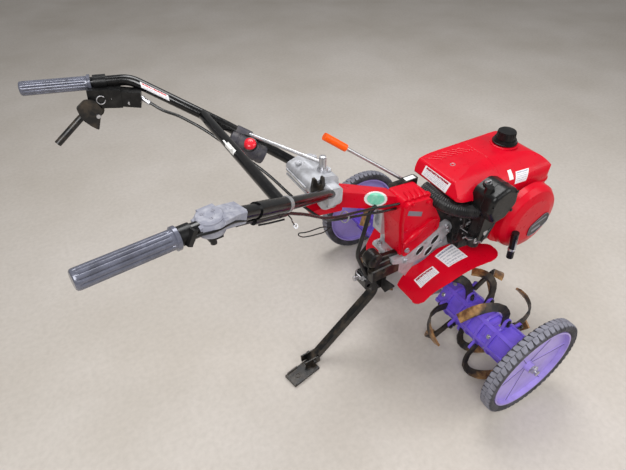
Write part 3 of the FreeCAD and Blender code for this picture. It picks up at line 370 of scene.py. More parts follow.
def bar(form, start, end, width, height, level=None):
    """Bar of rectangular section between two places in mm, with chamfered long edges."""
    start, end = at(*start), at(*end)
    along = (end - start).normalized()
    side = Vector(level or Vector(UP).cross(along)).normalized()
    rise = along.cross(side)
    w, h, c = width / 2000, height / 2000, min(width, height) / 8000
    section = [(w, h - c), (w - c, h), (c - w, h), (-w, h - c), (-w, c - h), (c - w, -h), (w - c, -h),
               (w, c - h)]
    rings = [[form.verts.new(p + side * a + rise * b) for a, b in section] for p in (start, end)]
    form.faces.new(rings[0][::-1])
    form.faces.new(rings[1])
    add_skin(form, rings)


def link_new(name, data):
    """Object of some data, linked into the scene."""
    obj = bpy.data.objects.new(name, data)
    bpy.context.scene.collection.objects.link(obj)
    return obj


def publish(name, form, finish_name, body="chassis", angle=35):
    """Piece from a bmesh, with its finish, riding on a body."""
    bmesh.ops.recalc_face_normals(form, faces=form.faces)
    mesh = bpy.data.meshes.new(name)
    form.to_mesh(mesh)
    form.free()
    obj = link_new(name, mesh)
    mesh.materials.append(FINISHES[finish_name])
    smooth_by_angle(obj, angle)
    if body:
        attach(obj, body)
    return obj


def piece(name, finish_name, steps, body="chassis", angle=35):
    """Piece of several forms; a step is the function that adds a form and what it takes after the bmesh."""
    form = bmesh.new()
    for add, *values in steps:
        add(form, *values)
    return publish(name, form, finish_name, body, angle)


CORNER_SHARE = 0.45


def rounded_line(points, step=3.0):
    """Scene points along straight runs joined by arcs that start at CORNER_SHARE of the shorter run."""
    pts = [at(*p) for p in points]
    line = [pts[0]]
    for before, here, after in zip(pts, pts[1:], pts[2:]):
        into, out = (here - before).normalized(), (after - here).normalized()
        turn = into.angle(out)
        cut = CORNER_SHARE * min((here - before).length, (after - here).length)
        radius = cut / tan(turn / 2)
        a, b = here - into * cut, here + out * cut
        count = max(2, int(radius * turn * 1000 / step))
        centre = here + (out - into).normalized() * (radius / cos(turn / 2))
        for k in range(count + 1):
            line.append(centre + Matrix.Rotation(turn * k / count, 3, into.cross(out)) @ (a - centre))
        line[-1] = b
    line.append(pts[-1])
    return [p for i, p in enumerate(line) if i == 0 or (p - line[i - 1]).length > 1e-6]


def evenly(line, count):
    """The same line with that many evenly spaced points."""
    lengths = [0.0]
    for a, b in zip(line, line[1:]):
        lengths.append(lengths[-1] + (b - a).length)
    found, i = [], 0
    for k in range(count):
        want = lengths[-1] * k / (count - 1)
        while i < len(line) - 2 and lengths[i + 1] < want:
            i += 1
        span = max(lengths[i + 1] - lengths[i], 1e-9)
        found.append(line[i].lerp(line[i + 1], min(max((want - lengths[i]) / span, 0), 1)))
    return found


def surface(*nodes):
    """Search tree over the faces of CAD nodes."""
    points, faces = [], []
    for name in nodes:
        mesh = NODES[name].data
        first = len(points)
        points += [v.co.copy() for v in mesh.vertices]
        faces += [[first + i for i in p.vertices] for p in mesh.polygons]
    return BVHTree.FromPolygons(points, faces)


def patch(name, nodes, corners, direction, finish_name, body="chassis", lift=0.4, cells=10, rounded=False):
    """Sticker cast on a surface along a direction, from its corners from the top left round."""
    tree = surface(*nodes)
    ray = Vector(direction).normalized()
    top_left, top_right, bottom_right, bottom_left = (at(*c) for c in corners)
    form = bmesh.new()
    layer = form.loops.layers.uv.new("label")
    grid, places = {}, {}
    for i in range(cells + 1):
        for j in range(cells + 1):
            u, v = i / cells, j / cells
            point = bottom_left.lerp(bottom_right, u).lerp(top_left.lerp(top_right, u), v)
            hit, normal, _, _ = tree.ray_cast(point - ray * 0.08, ray, 0.2)
            if hit is not None:
                facing = normal if normal.dot(ray) < 0 else -normal
                point = hit + facing * (lift / 1000)
            grid[i, j] = form.verts.new(point)
            places[grid[i, j]] = (u, v)
    for i in range(cells):
        for j in range(cells):
            centre = ((i + 0.5) / cells - 0.5, (j + 0.5) / cells - 0.5)
            if rounded and centre[0] ** 2 + centre[1] ** 2 > 0.25:
                continue
            face = form.faces.new([grid[i, j], grid[i + 1, j], grid[i + 1, j + 1], grid[i, j + 1]])
            for loop in face.loops:
                loop[layer].uv = places[loop.vert]
    bmesh.ops.delete(form, geom=[v for v in form.verts if not v.link_faces], context="VERTS")
    return publish(name, form, finish_name, body)


# Wear of each tine, from its root beside the flange to the tip
ROOT_RADIUS = 0.075


def mark_wear(node):
    mesh = node.data
    places = [tuple(round(c, 5) for c in v.co) for v in mesh.vertices]
    tine_of = {place: [place] for place in places}
    for edge in mesh.edges:
        small, large = sorted((tine_of[places[i]] for i in edge.vertices), key=len)
        if small is not large:
            large += small
            tine_of.update(dict.fromkeys(small, large))
    centre = at(0, 0, AXLE_Z)
    shares = {}
    for tine in {id(tine): tine for tine in tine_of.values()}.values():
        roots = [y for x, y, z in tine if hypot(x - centre.x, z - centre.z) < ROOT_RADIUS]
        root_y = sum(roots) / max(len(roots), 1)
        shares.update({place: min(max((abs(place[1] - root_y) - 0.012) / 0.05, 0), 1) for place in tine})
    attribute = mesh.attributes.new("wear", "FLOAT", "POINT")
    for index, place in enumerate(places):
        attribute.data[index].value = shares[place]


for word, _ in SIDES:
    mark_wear(NODES["tines_" + word])


# Wheels: tyre with its tread blocks, dark lines along the disc's creases painted as shade with some dirt, and
# the hub's washer, nut and pin
TREAD_BLOCKS = 54
HUB_FACE_Y = TRACK_HALF + 10.5
SPINDLE_END_Y = TRACK_HALF + 30.0
CARCASS = ((143.2, -12.4), (150, -18), (157, -19.5), (162, -18.4), (165, -13), (165.6, -5),
           (165.6, 5), (165, 13), (162, 18.4), (157, 19.5), (150, 18), (143.2, 12.4))
# Across a block from the middle to the sidewall: width place, radius, half length along the circle
BLOCK_ROWS = ((0.5, 169.8, 8.6), (8.0, 169.7, 8.4), (15.6, 168.4, 6.0), (19.4, 163.0, 4.4),
              (19.8, 157.5, 3.0))
BLOCK_SLANT = 0.3


def add_tread_block(form, centre, angle, shoulder):
    outward = Vector((cos(angle), 0, sin(angle)))
    along = Vector((-sin(angle), 0, cos(angle)))
    sideways = Vector((0, shoulder, 0))
    tops = []
    for y, r, half in BLOCK_ROWS:
        for end in (-1, 1):
            place = outward * r + sideways * y + along * (end * half + y * BLOCK_SLANT)
            tops.append(form.verts.new(centre + place / 1000))
    bases = [form.verts.new(v.co - outward * 0.0055 - sideways * 0.001) for v in tops]
    last = len(tops) - 2
    for i in range(0, last, 2):
        form.faces.new([tops[i], tops[i + 1], tops[i + 3], tops[i + 2]])
        form.faces.new([tops[i], tops[i + 2], bases[i + 2], bases[i]])
        form.faces.new([tops[i + 1], bases[i + 1], bases[i + 3], tops[i + 3]])
    form.faces.new([tops[0], bases[0], bases[1], tops[1]])
    form.faces.new([tops[last], tops[last + 1], bases[last + 1], bases[last]])


def tyre_with_tread(word, side):
    form = bmesh.new()
    turned(form, (0, side * TRACK_HALF, AXLE_Z), TO_LEFT, CARCASS + CARCASS[:1], 120)
    for k in range(TREAD_BLOCKS):
        for shoulder in (-1, 1):
            angle = 2 * pi * (k + 0.25 * (1 + shoulder)) / TREAD_BLOCKS
            add_tread_block(form, at(0, side * TRACK_HALF, AXLE_Z), angle, shoulder)
    obj = publish("treaded_tyre_" + word, form, "tyre_rubber", "wheel_" + word)
    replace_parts(obj, "tyre_" + word)


def wheel_trim(word, side):
    form = bmesh.new()
    # Thin dark bars along the six creases of the disc: painted shade in the folds, with some dirt
    for a in around(6, radians(7)):
        start, end = ((r * cos(a), side * (TRACK_HALF + y), AXLE_Z + r * sin(a))
                      for r, y in ((17, -5.0), (137.5, 5.2)))
        bar(form, start, end, 1.5, 0.7, (-sin(a), 0, cos(a)))
    publish("crease_shade_lines_" + word, form, "crease_shade_and_dirt", "wheel_" + word)
    piece("hub_nut_" + word, "bare_steel", [
        (turned, (0, side * HUB_FACE_Y, AXLE_Z), (0, side, 0), [(9.3, 0), (14, 0), (14, 2), (9.3, 2)], 28),
        (turned, (0, side * (HUB_FACE_Y + 2.5), AXLE_Z), (0, side, 0),
         [(9.2, 0), (11.5, 0), (11.5, 6), (10.3, 7.2), (9.2, 7.2)], 6)], "wheel_" + word)
    pin_y = side * (SPINDLE_END_Y - 7)
    eye = [at(-9 + 8 * cos(a), pin_y, AXLE_Z + 21 + 8 * sin(a))
           for a in (pi * k / 8 for k in range(-4, 11))]
    piece("hub_pin_" + word, "bare_steel", [
        (pipe, [at(-9, pin_y, AXLE_Z + 14), at(0, pin_y, AXLE_Z), at(13, pin_y, AXLE_Z - 19)], 2.6),
        (pipe, eye, 1.5, 8)], "rotor")


for word, side in SIDES:
    tyre_with_tread(word, side)
    wheel_trim(word, side)


# Rotor: bolts through each lobe, the joint band between the two drum lengths and its pins
# Y of each flange and the angles of its tines
TINE_SEATS = ((138.0, (165, 285, 30)), (188.0, (200, 258, 100, 330)), (232.0, (72, 312)), (272.0, (222,)),
              (318.0, (88, 10, 300)))


def rotor_trim(word, side):
    form = bmesh.new()
    for flange_y, angles in TINE_SEATS:
        for angle in angles:
            a = radians(angle)
            for radius in (68, 81):
                x, z = radius * cos(a), AXLE_Z + radius * sin(a)
                for way in (-1, 1):
                    face = flange_y + way * 4.0
                    bolt(form, (x, side * face, z), (0, side * way, 0), 10, 5, 1.0)
    publish("tine_bolts_" + word, form, "worn_black", "rotor")
    band = [(50.0, -2.5), (59.5, -2.5), (59.5, 2.5), (50.0, 2.5)]
    piece("drum_joint_" + word, "purple_paint",
          [(turned, (0, side * y, AXLE_Z), (0, side, 0), band, 6) for y in (290.0, 297.0)], "rotor")
    piece("drum_bolts_" + word, "bare_steel",
          [(bolt, (49.8 * cos(a), side * y, AXLE_Z + 49.8 * sin(a)), (cos(a), 0, sin(a)), 9, 4, 1.0)
           for y in (110.0, 305.0) for a in around(6, radians(30))], "rotor")


for word, side in SIDES:
    rotor_trim(word, side)


# Grips with lengthwise grooves, over their plain solids
BEND_AT, GRIP_END, KNEE_AT = (-772.0, 283.3, 921.8), (-984.0, 319.2, 932.7), (-600.0, 172.0, 813.0)


def lower(x, side, dx=0.0, dy=0.0, dz=0.0, end=KNEE_AT):
    """Place on the tube ahead of its bend at an X, in mm, moved by dx, dy and dz."""
    share = (x - BEND_AT[0]) / (end[0] - BEND_AT[0])
    px, py, pz = (p + (q - p) * share for p, q in zip(BEND_AT, end))
    return px + dx, py * side + dy, pz + dz


def upper(x, side):
    """Place on the tube behind its bend, where the grip is."""
    return lower(x, side, end=GRIP_END)


def ribbed_grip(word, side):
    start, end = at(*upper(-986.7, side)), at(*upper(-851.0, side))
    axis = (end - start).normalized()
    length = (end - start).length * 1000
    first, second = across(axis)
    form = bmesh.new()
    stations = [(0.0, 12.0, 0.0), (1.5, 14.0, 0.0), (4.0, 14.9, 0.0), (6.0, 14.9, 0.4), (9.0, 14.9, 1.0),
                (length - 13, 14.9, 1.0), (length - 10, 14.9, 0.0), (length - 7, 15.2, 0.0),
                (length - 6, 17.8, 0.0), (length - 0.6, 17.8, 0.0), (length, 17.0, 0.0), (length, 12.2, 0.0)]
    rings = []
    for height, radius, grooved in stations:
        ring = []
        for a in around(144):
            depth = 2.4 * grooved * (1 - abs(sin(6 * a)) ** 0.5)
            out = (first * cos(a) + second * sin(a)) * ((radius - depth) / 1000)
            ring.append(form.verts.new(start + axis * (height / 1000) + out))
        rings.append(ring)
    add_skin(form, rings)
    form.faces.new(rings[0][::-1])
    obj = publish("ribbed_grip_" + word, form, "grip_rubber", "handle", 25)
    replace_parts(obj, "grip_" + word)


for word, side in SIDES:
    ribbed_grip(word, side)


# Cables between the handle and the machine
CABLE_R = 3.5
CABLE_BELOW = (-6.0, 0.0, -18.0)
THROTTLE_CABLE = (lower(-633, RIGHT, *CABLE_BELOW), (-566, -146, 752), (-508, -112, 696), (-446, -84, 656),
                  (-380, -62, 630), (-312, -46, 606), (-262, -42, 592), (-226, -40, 584))
CLUTCH_CABLE = (lower(-762, LEFT, 2.5, -23, -29), lower(-728, LEFT, 0, -30, -33),
                lower(-700, LEFT, 0, -24, -28), (-656, 180, 818), (-612, 124, 780), (-560, 60, 736),
                (-514, -14, 676), (-470, -60, 636), (-402, -50, 612), (-334, -40, 590), (-272, -34, 572),
                (-226, -30, 562))


def crossing_cable(name, node, points):
    obj = piece(name, "cable_sheath", [(pipe, rounded_line(points), CABLE_R, 12)], None)
    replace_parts(obj, node)
    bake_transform(obj)


crossing_cable("throttle_sheath", "throttle_cable", THROTTLE_CABLE)
crossing_cable("clutch_sheath", "clutch_cable", CLUTCH_CABLE)


# Corrugated intake duct
DUCT_LINE = ((-114, -6, 576), (-102, -72, 560), (-66, -106, 546), (-20, -128, 538))
DUCT_R, FOLD_DEPTH, FOLD_PITCH = 22.0, 0.8, 5.5
line = rounded_line(DUCT_LINE, 2.0)
count = int(sum((b - a).length for a, b in zip(line, line[1:])) * 1000 / FOLD_PITCH) * 6 + 1
radii = [DUCT_R - FOLD_DEPTH * (0.5 - 0.5 * cos(2 * pi * k / 6)) for k in range(count)]
duct = piece("duct_bellows", "black_rubber", [(pipe, evenly(line, count), radii, 32)], "chassis", 60)
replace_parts(duct, "intake_duct")


# Stickers and bare plates: name, nodes, corners from the top left round, the way they are pressed on, finish
STICKERS = (
    ("cover_label", ("engine_cover",), ((-76, 35, 615), (-77, -69, 614), (-89, -67, 586), (-88, 35, 590)),
     (0.88, 0, -0.47), "red_label"),
    ("tank_label", ("fuel_tank",), ((138, -102, 601), (190, -105, 599), (171, -121, 571), (124, -120, 574)),
     (0, 0.85, -0.5), "plain_label"),
    ("tank_mark", ("fuel_tank",), ((112, -90, 606), (126, -90, 606), (122, -114, 588), (106, -112, 588)),
     (0, 0.75, -0.6), "white_label"),
    ("fender_label_front", ("fender_right",),
     ((-82, -73, 352), (-14, -69, 370), (-12, -137, 370), (-79, -131, 354)), (0, 0, -1), "plain_label"),
    ("fender_label_rear", ("fender_right",),
     ((-157, -79, 293), (-106, -94, 340), (-106, -125, 339), (-159, -114, 291)), (0.6, 0, -0.8), "red_label"),
    ("case_plate", ("case_cover",), ((-208, -62, 567), (-157, -62, 545), (-159, -62, 530), (-211, -62, 552)),
     TO_LEFT, "plate_grey"),
    ("tube_strip", ("handle_tube_left",), (lower(-756, LEFT, 0, -10, 9), lower(-708, LEFT, 0, -10, 9),
                                          lower(-708, LEFT, 0, -14, -3), lower(-756, LEFT, 0, -14, -3)),
     (0.18, 0.9, -0.38), "strip_label", "handle"),
    ("housing_label", ("shift_gate",), ((-152, 40, 594), (-118, 40, 594), (-118, 24, 594), (-152, 24, 594)),
     (0, 0, -1), "white_label"),
    ("crossbar_label", ("crossbar",), ((-662, 34, 860), (-650, 34, 860), (-650, -8, 860), (-662, -8, 860)),
     (0, 0, -1), "white_label", "handle"),
)
for sticker in STICKERS:
    patch(*sticker)
POST_OVAL = ((-332, -24, 651), (-261, -24, 625), (-256, -24, 578), (-328, -24, 605))
POST_CENTRE = tuple(sum(c[i] for c in POST_OVAL) / 4 for i in range(3))
for label, share, lift, label_finish_name in (("post_rim", 1.06, 0.5, "white_label"),
                                              ("post_badge", 0.82, 1.1, "teal_label")):
    oval = [tuple(m + (p - m) * share for m, p in zip(POST_CENTRE, corner)) for corner in POST_OVAL]
    patch(label, ("handle_post", "transmission_case", "case_cover"), oval, (0.513, 0.629, -0.584),
          label_finish_name, "chassis", lift, 32, True)


# Drive case: dark plates painted as the shade inside the flange's openings, their rims, bolts round the
# flange and the cover
SLOT_CENTRES = ((-138, 392), (-84, 412), (-102, 374))
SLOT_AXES = ((0.62 * 18, 0.785 * 18), (-0.785 * 11, 0.62 * 11))


def slot_outline(x, z, y, share=1.0):
    (ax, az), (bx, bz) = SLOT_AXES
    turns = [(cos(a) * share, sin(a) * share) for a in around(28)]
    return [at(x + ax * c + bx * d, y, z + az * c + bz * d) for c, d in turns]


rims = [slot_outline(x, z, -60.6, 1.04) for x, z in SLOT_CENTRES]
# Near-black plates sunk in the flange's openings are painted shade
piece("slot_shadows", "hole_shade_black", [(plate, slot_outline(x, z, -60.2), 0.8) for x, z in SLOT_CENTRES])
piece("slot_rims", "cast_aluminium", [(pipe, rim + rim[:2], 1.5, 8) for rim in rims])


# Bolts: name, finish and rows of place, axis, size across flats, height of the head
BOLTS = (
    ("case_bolts", "bare_steel", ((-44, -60, 446), TO_RIGHT, 11, 6), ((-186, -60, 372), TO_RIGHT, 11, 6),
     ((-34, -60, 426), TO_RIGHT, 9, 5), ((-120, -60, 416), TO_RIGHT, 8, 4), ((-60, -60, 396), TO_RIGHT, 9, 5),
     ((-222, -18, 392), UP, 12, 7), ((-222, 24, 392), UP, 12, 7), ((-196, -66, 424), TO_RIGHT, 11, 6),
     ((20, -36, 342), UP, 11, 6), ((180, -36, 342), UP, 11, 6)),
    ("cover_bolts", "red_paint", ((-208, -62, 500), TO_RIGHT, 9, 4), ((-196, -62, 584), TO_RIGHT, 9, 4),
     ((-142, -62, 572), TO_RIGHT, 9, 4), ((-100, -62, 498), TO_RIGHT, 9, 4),
     ((-96, -62, 462), TO_RIGHT, 9, 4)),
    ("starter_screws", "bare_steel", ((96, -152, 424), TO_RIGHT, 9, 5), ((250, -152, 510), TO_RIGHT, 8, 4),
     ((120, -140, 500), TO_RIGHT, 8, 4), ((262, -148, 416), TO_RIGHT, 8, 4)),
    ("side_case_bolts", "bare_steel", ((-214, 58, 446), TO_LEFT, 10, 5), ((-214, 58, 526), TO_LEFT, 10, 5),
     ((-150, 58, 446), TO_LEFT, 10, 5), ((-150, 58, 526), TO_LEFT, 10, 5)),
)
for name, finish_name, *rows in BOLTS:
    piece(name, finish_name, [(bolt, *row) for row in rows])


def cast_points(node, starts, direction, lift):
    """Points dropped on a node along a direction, with a lift in mm against it; misses are left out."""
    tree = surface(node)
    ray = Vector(direction).normalized()
    found = [tree.ray_cast(at(*p) - ray * 0.1, ray, 0.3)[0] for p in starts]
    return [p - ray * (lift / 1000) for p in found if p is not None]


# Drive case: rounded ribs over its top edge and the ridge along its face
form = bmesh.new()
for x in (-204, -186, -168, -150, -132):
    starts = [(x + 0.2 * t, -96 + t, 640 - 0.3 * t) for t in (20, 28, 36, 44, 52, 60, 68)]
    line = cast_points("transmission_case", starts, (0, 0.45, -0.9), -1.0)
    if len(line) > 2:
        pipe(form, line, [3.4] + [5.2] * (len(line) - 2) + [3.4], 14)
ridge = rounded_line(((-207, -64, 451), (-188, -64, 465), (-162, -64, 479), (-136, -64, 489)))
pipe(form, ridge, [6.0 + 5.5 * sin(pi * k / (len(ridge) - 1)) for k in range(len(ridge))], 22)
publish("case_ribs", form, "red_paint")


# Stake holder: round guard beside the hanging hose, its arm and its cheeks
piece("holder_guard", "worn_black", [
    (turned, (-292, -52, 411), TO_LEFT, [(0, 0), (20, 0), (24, 3), (25, 10), (25, 34), (22, 38), (0, 38)],
     36),
    (bolt, (-296, -52, 417), TO_RIGHT, 9, 4, 1),
    (bar, (-292, -33, 405), (-200, -33, 396), 16, 12),
    (bar, (-300, -42, 352), (-206, -42, 356), 26, 46),
    (bar, (-292, -40, 382), (-238, -40, 384), 20, 26),
    (bolt, (-262, -55, 362), TO_RIGHT, 9, 4, 1)])


# Foot of the drag stake: worn plate turned a little to the right, its cheeks, bolt heads and raised lips
form = bmesh.new()
bar(form, (-570, -33, 5.5), (-470, -12, 5.5), 52, 9)
bar(form, (-561, -57, 11), (-500, -45, 11), 5, 7)
bar(form, (-566, -8, 11), (-528, 0, 11), 5, 7)
for side in (RIGHT, LEFT):
    bar(form, (-504, side * 15, 20), (-452, side * 15, 24), 4.5, 30)
    bolt(form, (-474, side * 17, 25), (0, side, 0), 13, 6, 1.5)
turned(form, (-540, -28, 8), UP, collar(5.5, 9, 4), 20)
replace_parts(publish("worn_foot", form, "worn_black", "stake"), "stake_shoe")


# Fenders as bent sheet: rows of X, inner and outer width; ahead of SHEET_STRAIGHT it runs on straight
FENDER_ROWS = ((-184.6, 46, 116), (-183.6, 38, 126), (-180.5, 37, 137), (-172, 37, 149), (-148, 40, 156),
               (-125, 52, 165), (-106, 57, 171), (-60, 56, 177), (-16, 66, 181), (-15, 94, 181),
               (11, 96, 183),
               (40, 98, 183), (60, 104, 180), (76, 111, 173), (88, 118, 162), (94, 126, 148))
SHEET_R, SHEET_THICK, SHEET_STRAIGHT, SHEET_CELLS = 200.0, 2.5, 34.0, 8


def sheet_height(x, radius):
    if x < SHEET_STRAIGHT:
        return AXLE_Z + sqrt(radius ** 2 - x ** 2)
    height = sqrt(radius ** 2 - SHEET_STRAIGHT ** 2)
    return AXLE_Z + height - (x - SHEET_STRAIGHT) * 0.5 * SHEET_STRAIGHT / height


def fender_sheet(word, side):
    rows = []
    for (x0, i0, o0), (x1, i1, o1) in zip(FENDER_ROWS, FENDER_ROWS[1:]):
        steps = max(1, int((x1 - x0) / 5))
        rows += [(x0 + (x1 - x0) * t / steps, i0 + (i1 - i0) * t / steps, o0 + (o1 - o0) * t / steps)
                 for t in range(steps)]
    rows.append(FENDER_ROWS[-1])
    form = bmesh.new()
    skins = []
    for radius in (SHEET_R, SHEET_R - SHEET_THICK):
        skin = []
        for x, inner, outer in rows:
            bent_x = x * radius / SHEET_R if x < SHEET_STRAIGHT else x
            widths = [inner + (outer - inner) * j / SHEET_CELLS for j in range(SHEET_CELLS + 1)]
            height = sheet_height(bent_x, radius)
            skin.append([form.verts.new(at(bent_x, side * width, height)) for width in widths])
        skins.append(skin)
    for skin in skins:
        add_skin(form, skin, closed=False)
    top, bottom = skins
    last, outer = len(rows) - 1, SHEET_CELLS
    edge = [(i, outer) for i in range(last + 1)] + [(last, j) for j in range(outer - 1, -1, -1)]
    edge += [(i, 0) for i in range(last - 1, -1, -1)] + [(0, j) for j in range(1, outer)]
    for (i, j), (k, m) in zip(edge, edge[1:] + edge[:1]):
        form.faces.new([top[i][j], top[k][m], bottom[k][m], bottom[i][j]])
    outer_edge = [row[outer].co.copy() for row in top]
    pipe(form, [p - Vector((0, side * 0.001, 0.0016)) for p in outer_edge], 1.6, 8)
    obj = publish("fender_sheet_" + word, form, "red_paint", "chassis", 40)
    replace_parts(obj, "fender_" + word)


for word, side in SIDES:
    fender_sheet(word, side)


# Raised lines on the engine cover, its screw, the tank's neck ring and the cap's ribs
form = bmesh.new()
for row in range(7):
    x0, y0 = -62 + 17 * row, 58 - 3 * row
    starts = [(x0 + 30 * t, y0 - 34 * t, 640) for t in (0, 0.25, 0.5, 0.75, 1)]
    pipe(form, cast_points("engine_cover", starts, (0, 0, -1), 0.2), 2.1, 8)
publish("cover_lines", form, "red_paint")
piece("cover_screw", "bare_steel", [
    (turned, (-23, -13, 626.5), (-0.15, 0, 1),
     [(0, 0), (7.5, 0), (7.5, 1.6), (6.5, 2.2), (5.0, 1.2), (0, 1.2)], 24)])
CAP_X, CAP_Y = 184, -6
form = bmesh.new()
for a in around(20):
    foot, head = ((CAP_X + r * cos(a), CAP_Y + r * sin(a), z)
                  for r, z in ((26.5, 652), (25.3, 671.5)))
    bar(form, foot, head, 3.2, 3.0, (cos(a), sin(a), 0))
turned(form, (CAP_X, CAP_Y, 638), UP, [(33, 0), (36.2, 1), (36.2, 4), (33, 5)], 48)
publish("cap_ribs", form, "black_plastic")
piece("neck_ring", "red_paint", [
    (turned, (CAP_X, CAP_Y, 634), UP, [(37, -3), (41, -1.5), (41, 1.0), (38.5, 2.4), (34, 2.4)], 48)])


# Air cleaner: raised seam found by casting inwards, screws and the nut on its top
tree = surface("air_cleaner")
CLEANER_REACH = 0.09
ways = [Vector((cos(a), 0, sin(a))) for a in around(72)]
hits = [tree.ray_cast(at(16, -148, 574) + way * CLEANER_REACH, -way, CLEANER_REACH)[0] for way in ways]
seam = [hit for hit in hits if hit is not None]
piece("cleaner_seam", "black_plastic", [
    (pipe, seam + seam[:2], 1.6, 6),
    *[(bolt, (x, -183, z), TO_RIGHT, 7, 2, 0.6) for x, z in ((52, 612), (-26, 586), (50, 552))],
    (turned, (-4, -128, 622), UP, [(13, 0), (13, 4), (6, 5), (6, 9), (4, 10), (0, 10)], 24)])
piece("cleaner_nut", "bare_steel", [
    (turned, (-4, -128, 627), UP, collar(6.4, 9, 1.4), 20),
    (bar, (-13, -128, 632.5), (5, -128, 632.5), 5, 2.4)])


# Carburettor: fuel hoses, springs, levers and screws, and the black parts behind them
def spring(form, start, end, radius, wire, turns):
    axis = end - start
    first, second = across(axis.normalized())
    count = turns * 12
    turn = [first * cos(pi * k / 6) + second * sin(pi * k / 6) for k in range(count + 1)]
    pipe(form, [start + axis * (k / count) + turn[k] * (radius / 1000) for k in range(count + 1)], wire, 6)


piece("fuel_hoses", "black_rubber", [
    (pipe, rounded_line(((10, -146, 424), (-6, -160, 446), (30, -158, 486), (84, -128, 512))), 4.0, 12),
    (pipe, rounded_line(((-4, -60, 536), (-24, -96, 520), (-34, -110, 486), (-14, -96, 452))), 3.6, 12)])
form = bmesh.new()
spring(form, at(-30, -100, 466), at(30, -100, 470), 3.6, 0.7, 14)
spring(form, at(-28, -112, 430), at(-6, -122, 444), 3.0, 0.6, 9)
pipe(form, [at(-30, -98, 462), at(-12, -122, 446)], 1.2, 8)
bar(form, (-26, -152, 452), (12, -152, 458), 9, 1.6, UP)
turned(form, (-2, -150, 441), TO_RIGHT, [(0, 0), (8, 0), (8, 3), (4, 5), (4, 9), (0, 9)], 20)
bolt(form, (20, -150, 441), TO_RIGHT, 7, 4, 0.8)
bolt(form, (-18, -150, 441), TO_RIGHT, 7, 4, 0.8)
turned(form, (2, -128, 407), (0, 0, -1), [(0, 0), (6, 0), (6, 5), (0, 6)], 6)
turned(form, (6, -150, 470), (0, -1, 0.2), [(0, 0), (13, 0), (13, 4), (9, 6), (9, 9), (0, 10)], 28)
bar(form, (-43, -140, 456), (-17, -140, 446), 12, 3)
SPOTS = ((-114, 552), (-88, 521), (-71, 538), (-40, 508), (-16, 465), (26, 480), (-65, 489), (-88, 492))
towards = Vector((0.68, 0.49, -0.55))
carriers = surface("carburettor", "engine_block", "engine_bed")
for x, z in SPOTS:
    place, normal = carriers.ray_cast(at(x, -150, z) - towards * 0.05, towards, 0.3)[:2]
    if place is not None:
        turned(form, (place - at(0, 0, 0)) * 1000, normal,
               [(0, -1), (3.6, -1), (3.6, 1.6), (2.4, 2.6), (0, 2.6)], 6)
publish("carburettor_gear", form, "bare_steel")
piece("carburettor_black", "black_plastic", [
    (turned, (10, -118, 462), TO_RIGHT, [(20, 0), (22, 3), (22, 14), (16, 22), (0, 22)], 28),
    (turned, (36, -118, 436), TO_RIGHT, [(0, 0), (15, 0), (15, 16), (11, 20), (0, 20)], 24),
    (turned, (-40, -70, 500), (-1, 0, 0.3), [(9, 0), (10, 6), (8, 20), (5, 26), (0, 26)], 20)])


# Recoil starter: badge plate with its rim and bars, and on the pull handle a bright steel bar painted as its
# highlight, with a bright ring at its lower end
def rounded_outline(corners, radius, y):
    """Outline of a plate across Y from (x, z) corners, each cut by an arc."""
    points = []
    for before, here, after in zip(corners[-1:] + corners[:-1], corners, corners[1:] + corners[:1]):
        here_at = Vector(here)
        into = (here_at - Vector(before)).normalized()
        out = (Vector(after) - here_at).normalized()
        a, b = here_at - into * radius, here_at + out * radius
        for k in range(6):
            t = k / 5
            p = a * (1 - t) ** 2 + here_at * 2 * t * (1 - t) + b * t ** 2
            points.append(at(p.x, y, p.y))
    return points


BADGE_CORNERS = [(178, 398), (178, 436), (232, 470), (252, 462), (254, 430), (206, 398)]
piece("starter_badge", "badge_black", [(plate, rounded_outline(BADGE_CORNERS, 12, -178.4), 2.4)])
rim = rounded_outline(BADGE_CORNERS, 12, -180.2)
piece("badge_bars", "plate_grey", [
    (pipe, rim + rim[:2], 0.9, 6),
    (bar, (187, -180, 434), (242, -180, 452), 1.0, 4.5, TO_LEFT),
    (bar, (192, -179.8, 414), (226, -179.8, 424), 0.6, 9, TO_LEFT)])
# Bright steel bar down the dark pull handle is painted highlight; the turned ring sits at the handle's lower
# end
piece("handle_highlight_and_ring", "bare_steel", [
    (bar, (104.5, -196.6, 434), (109.5, -197.4, 392), 8, 4, (1, 0, 0)),
    (turned, (109.6, -188.5, 390), (-0.12, 0, -1), [(10.2, 0), (11.4, 1), (11.4, 7), (10.2, 8)], 24)])


# Handle clamp: ribs, dimples, pivot nuts and screws
DIMPLE = [(0, 0), (8, 0), (7, 3), (4, 3), (3, 1.6), (0, 1.6)]
PIVOT_NUT = [(0, -1), (13, -1), (13, 1.5), (9, 2), (9, 7), (7.5, 8), (0, 8)]
piece("clamp_ribs", "cast_aluminium", [
    *[(bar, (-506.5, -34, z), (-506.5, 58, z), 5, 4, UP) for z in (716, 728)],
    *[(turned, (x, y, 748), UP, DIMPLE, 20) for x, y in ((-484, 40), (-440, 44), (-440, -20))],
    (turned, (-450, -41, 686), TO_RIGHT, [(0, 0), (12, 0), (11, 3), (0, 3)], 24)], "handle")
piece("clamp_screws", "bare_steel", [
    *[(turned, (-446, y_face, 676), (0, way, 0), PIVOT_NUT, 24) for y_face, way in ((-52, -1), (52, 1))],
    (bolt, (-450, -41, 661), TO_RIGHT, 8, 4),
    (turned, (-452, -16, 782), UP, [(0, 0), (6, 0), (7.5, 1.5), (7.5, 3), (4, 4), (0, 4)], 24)], "handle")


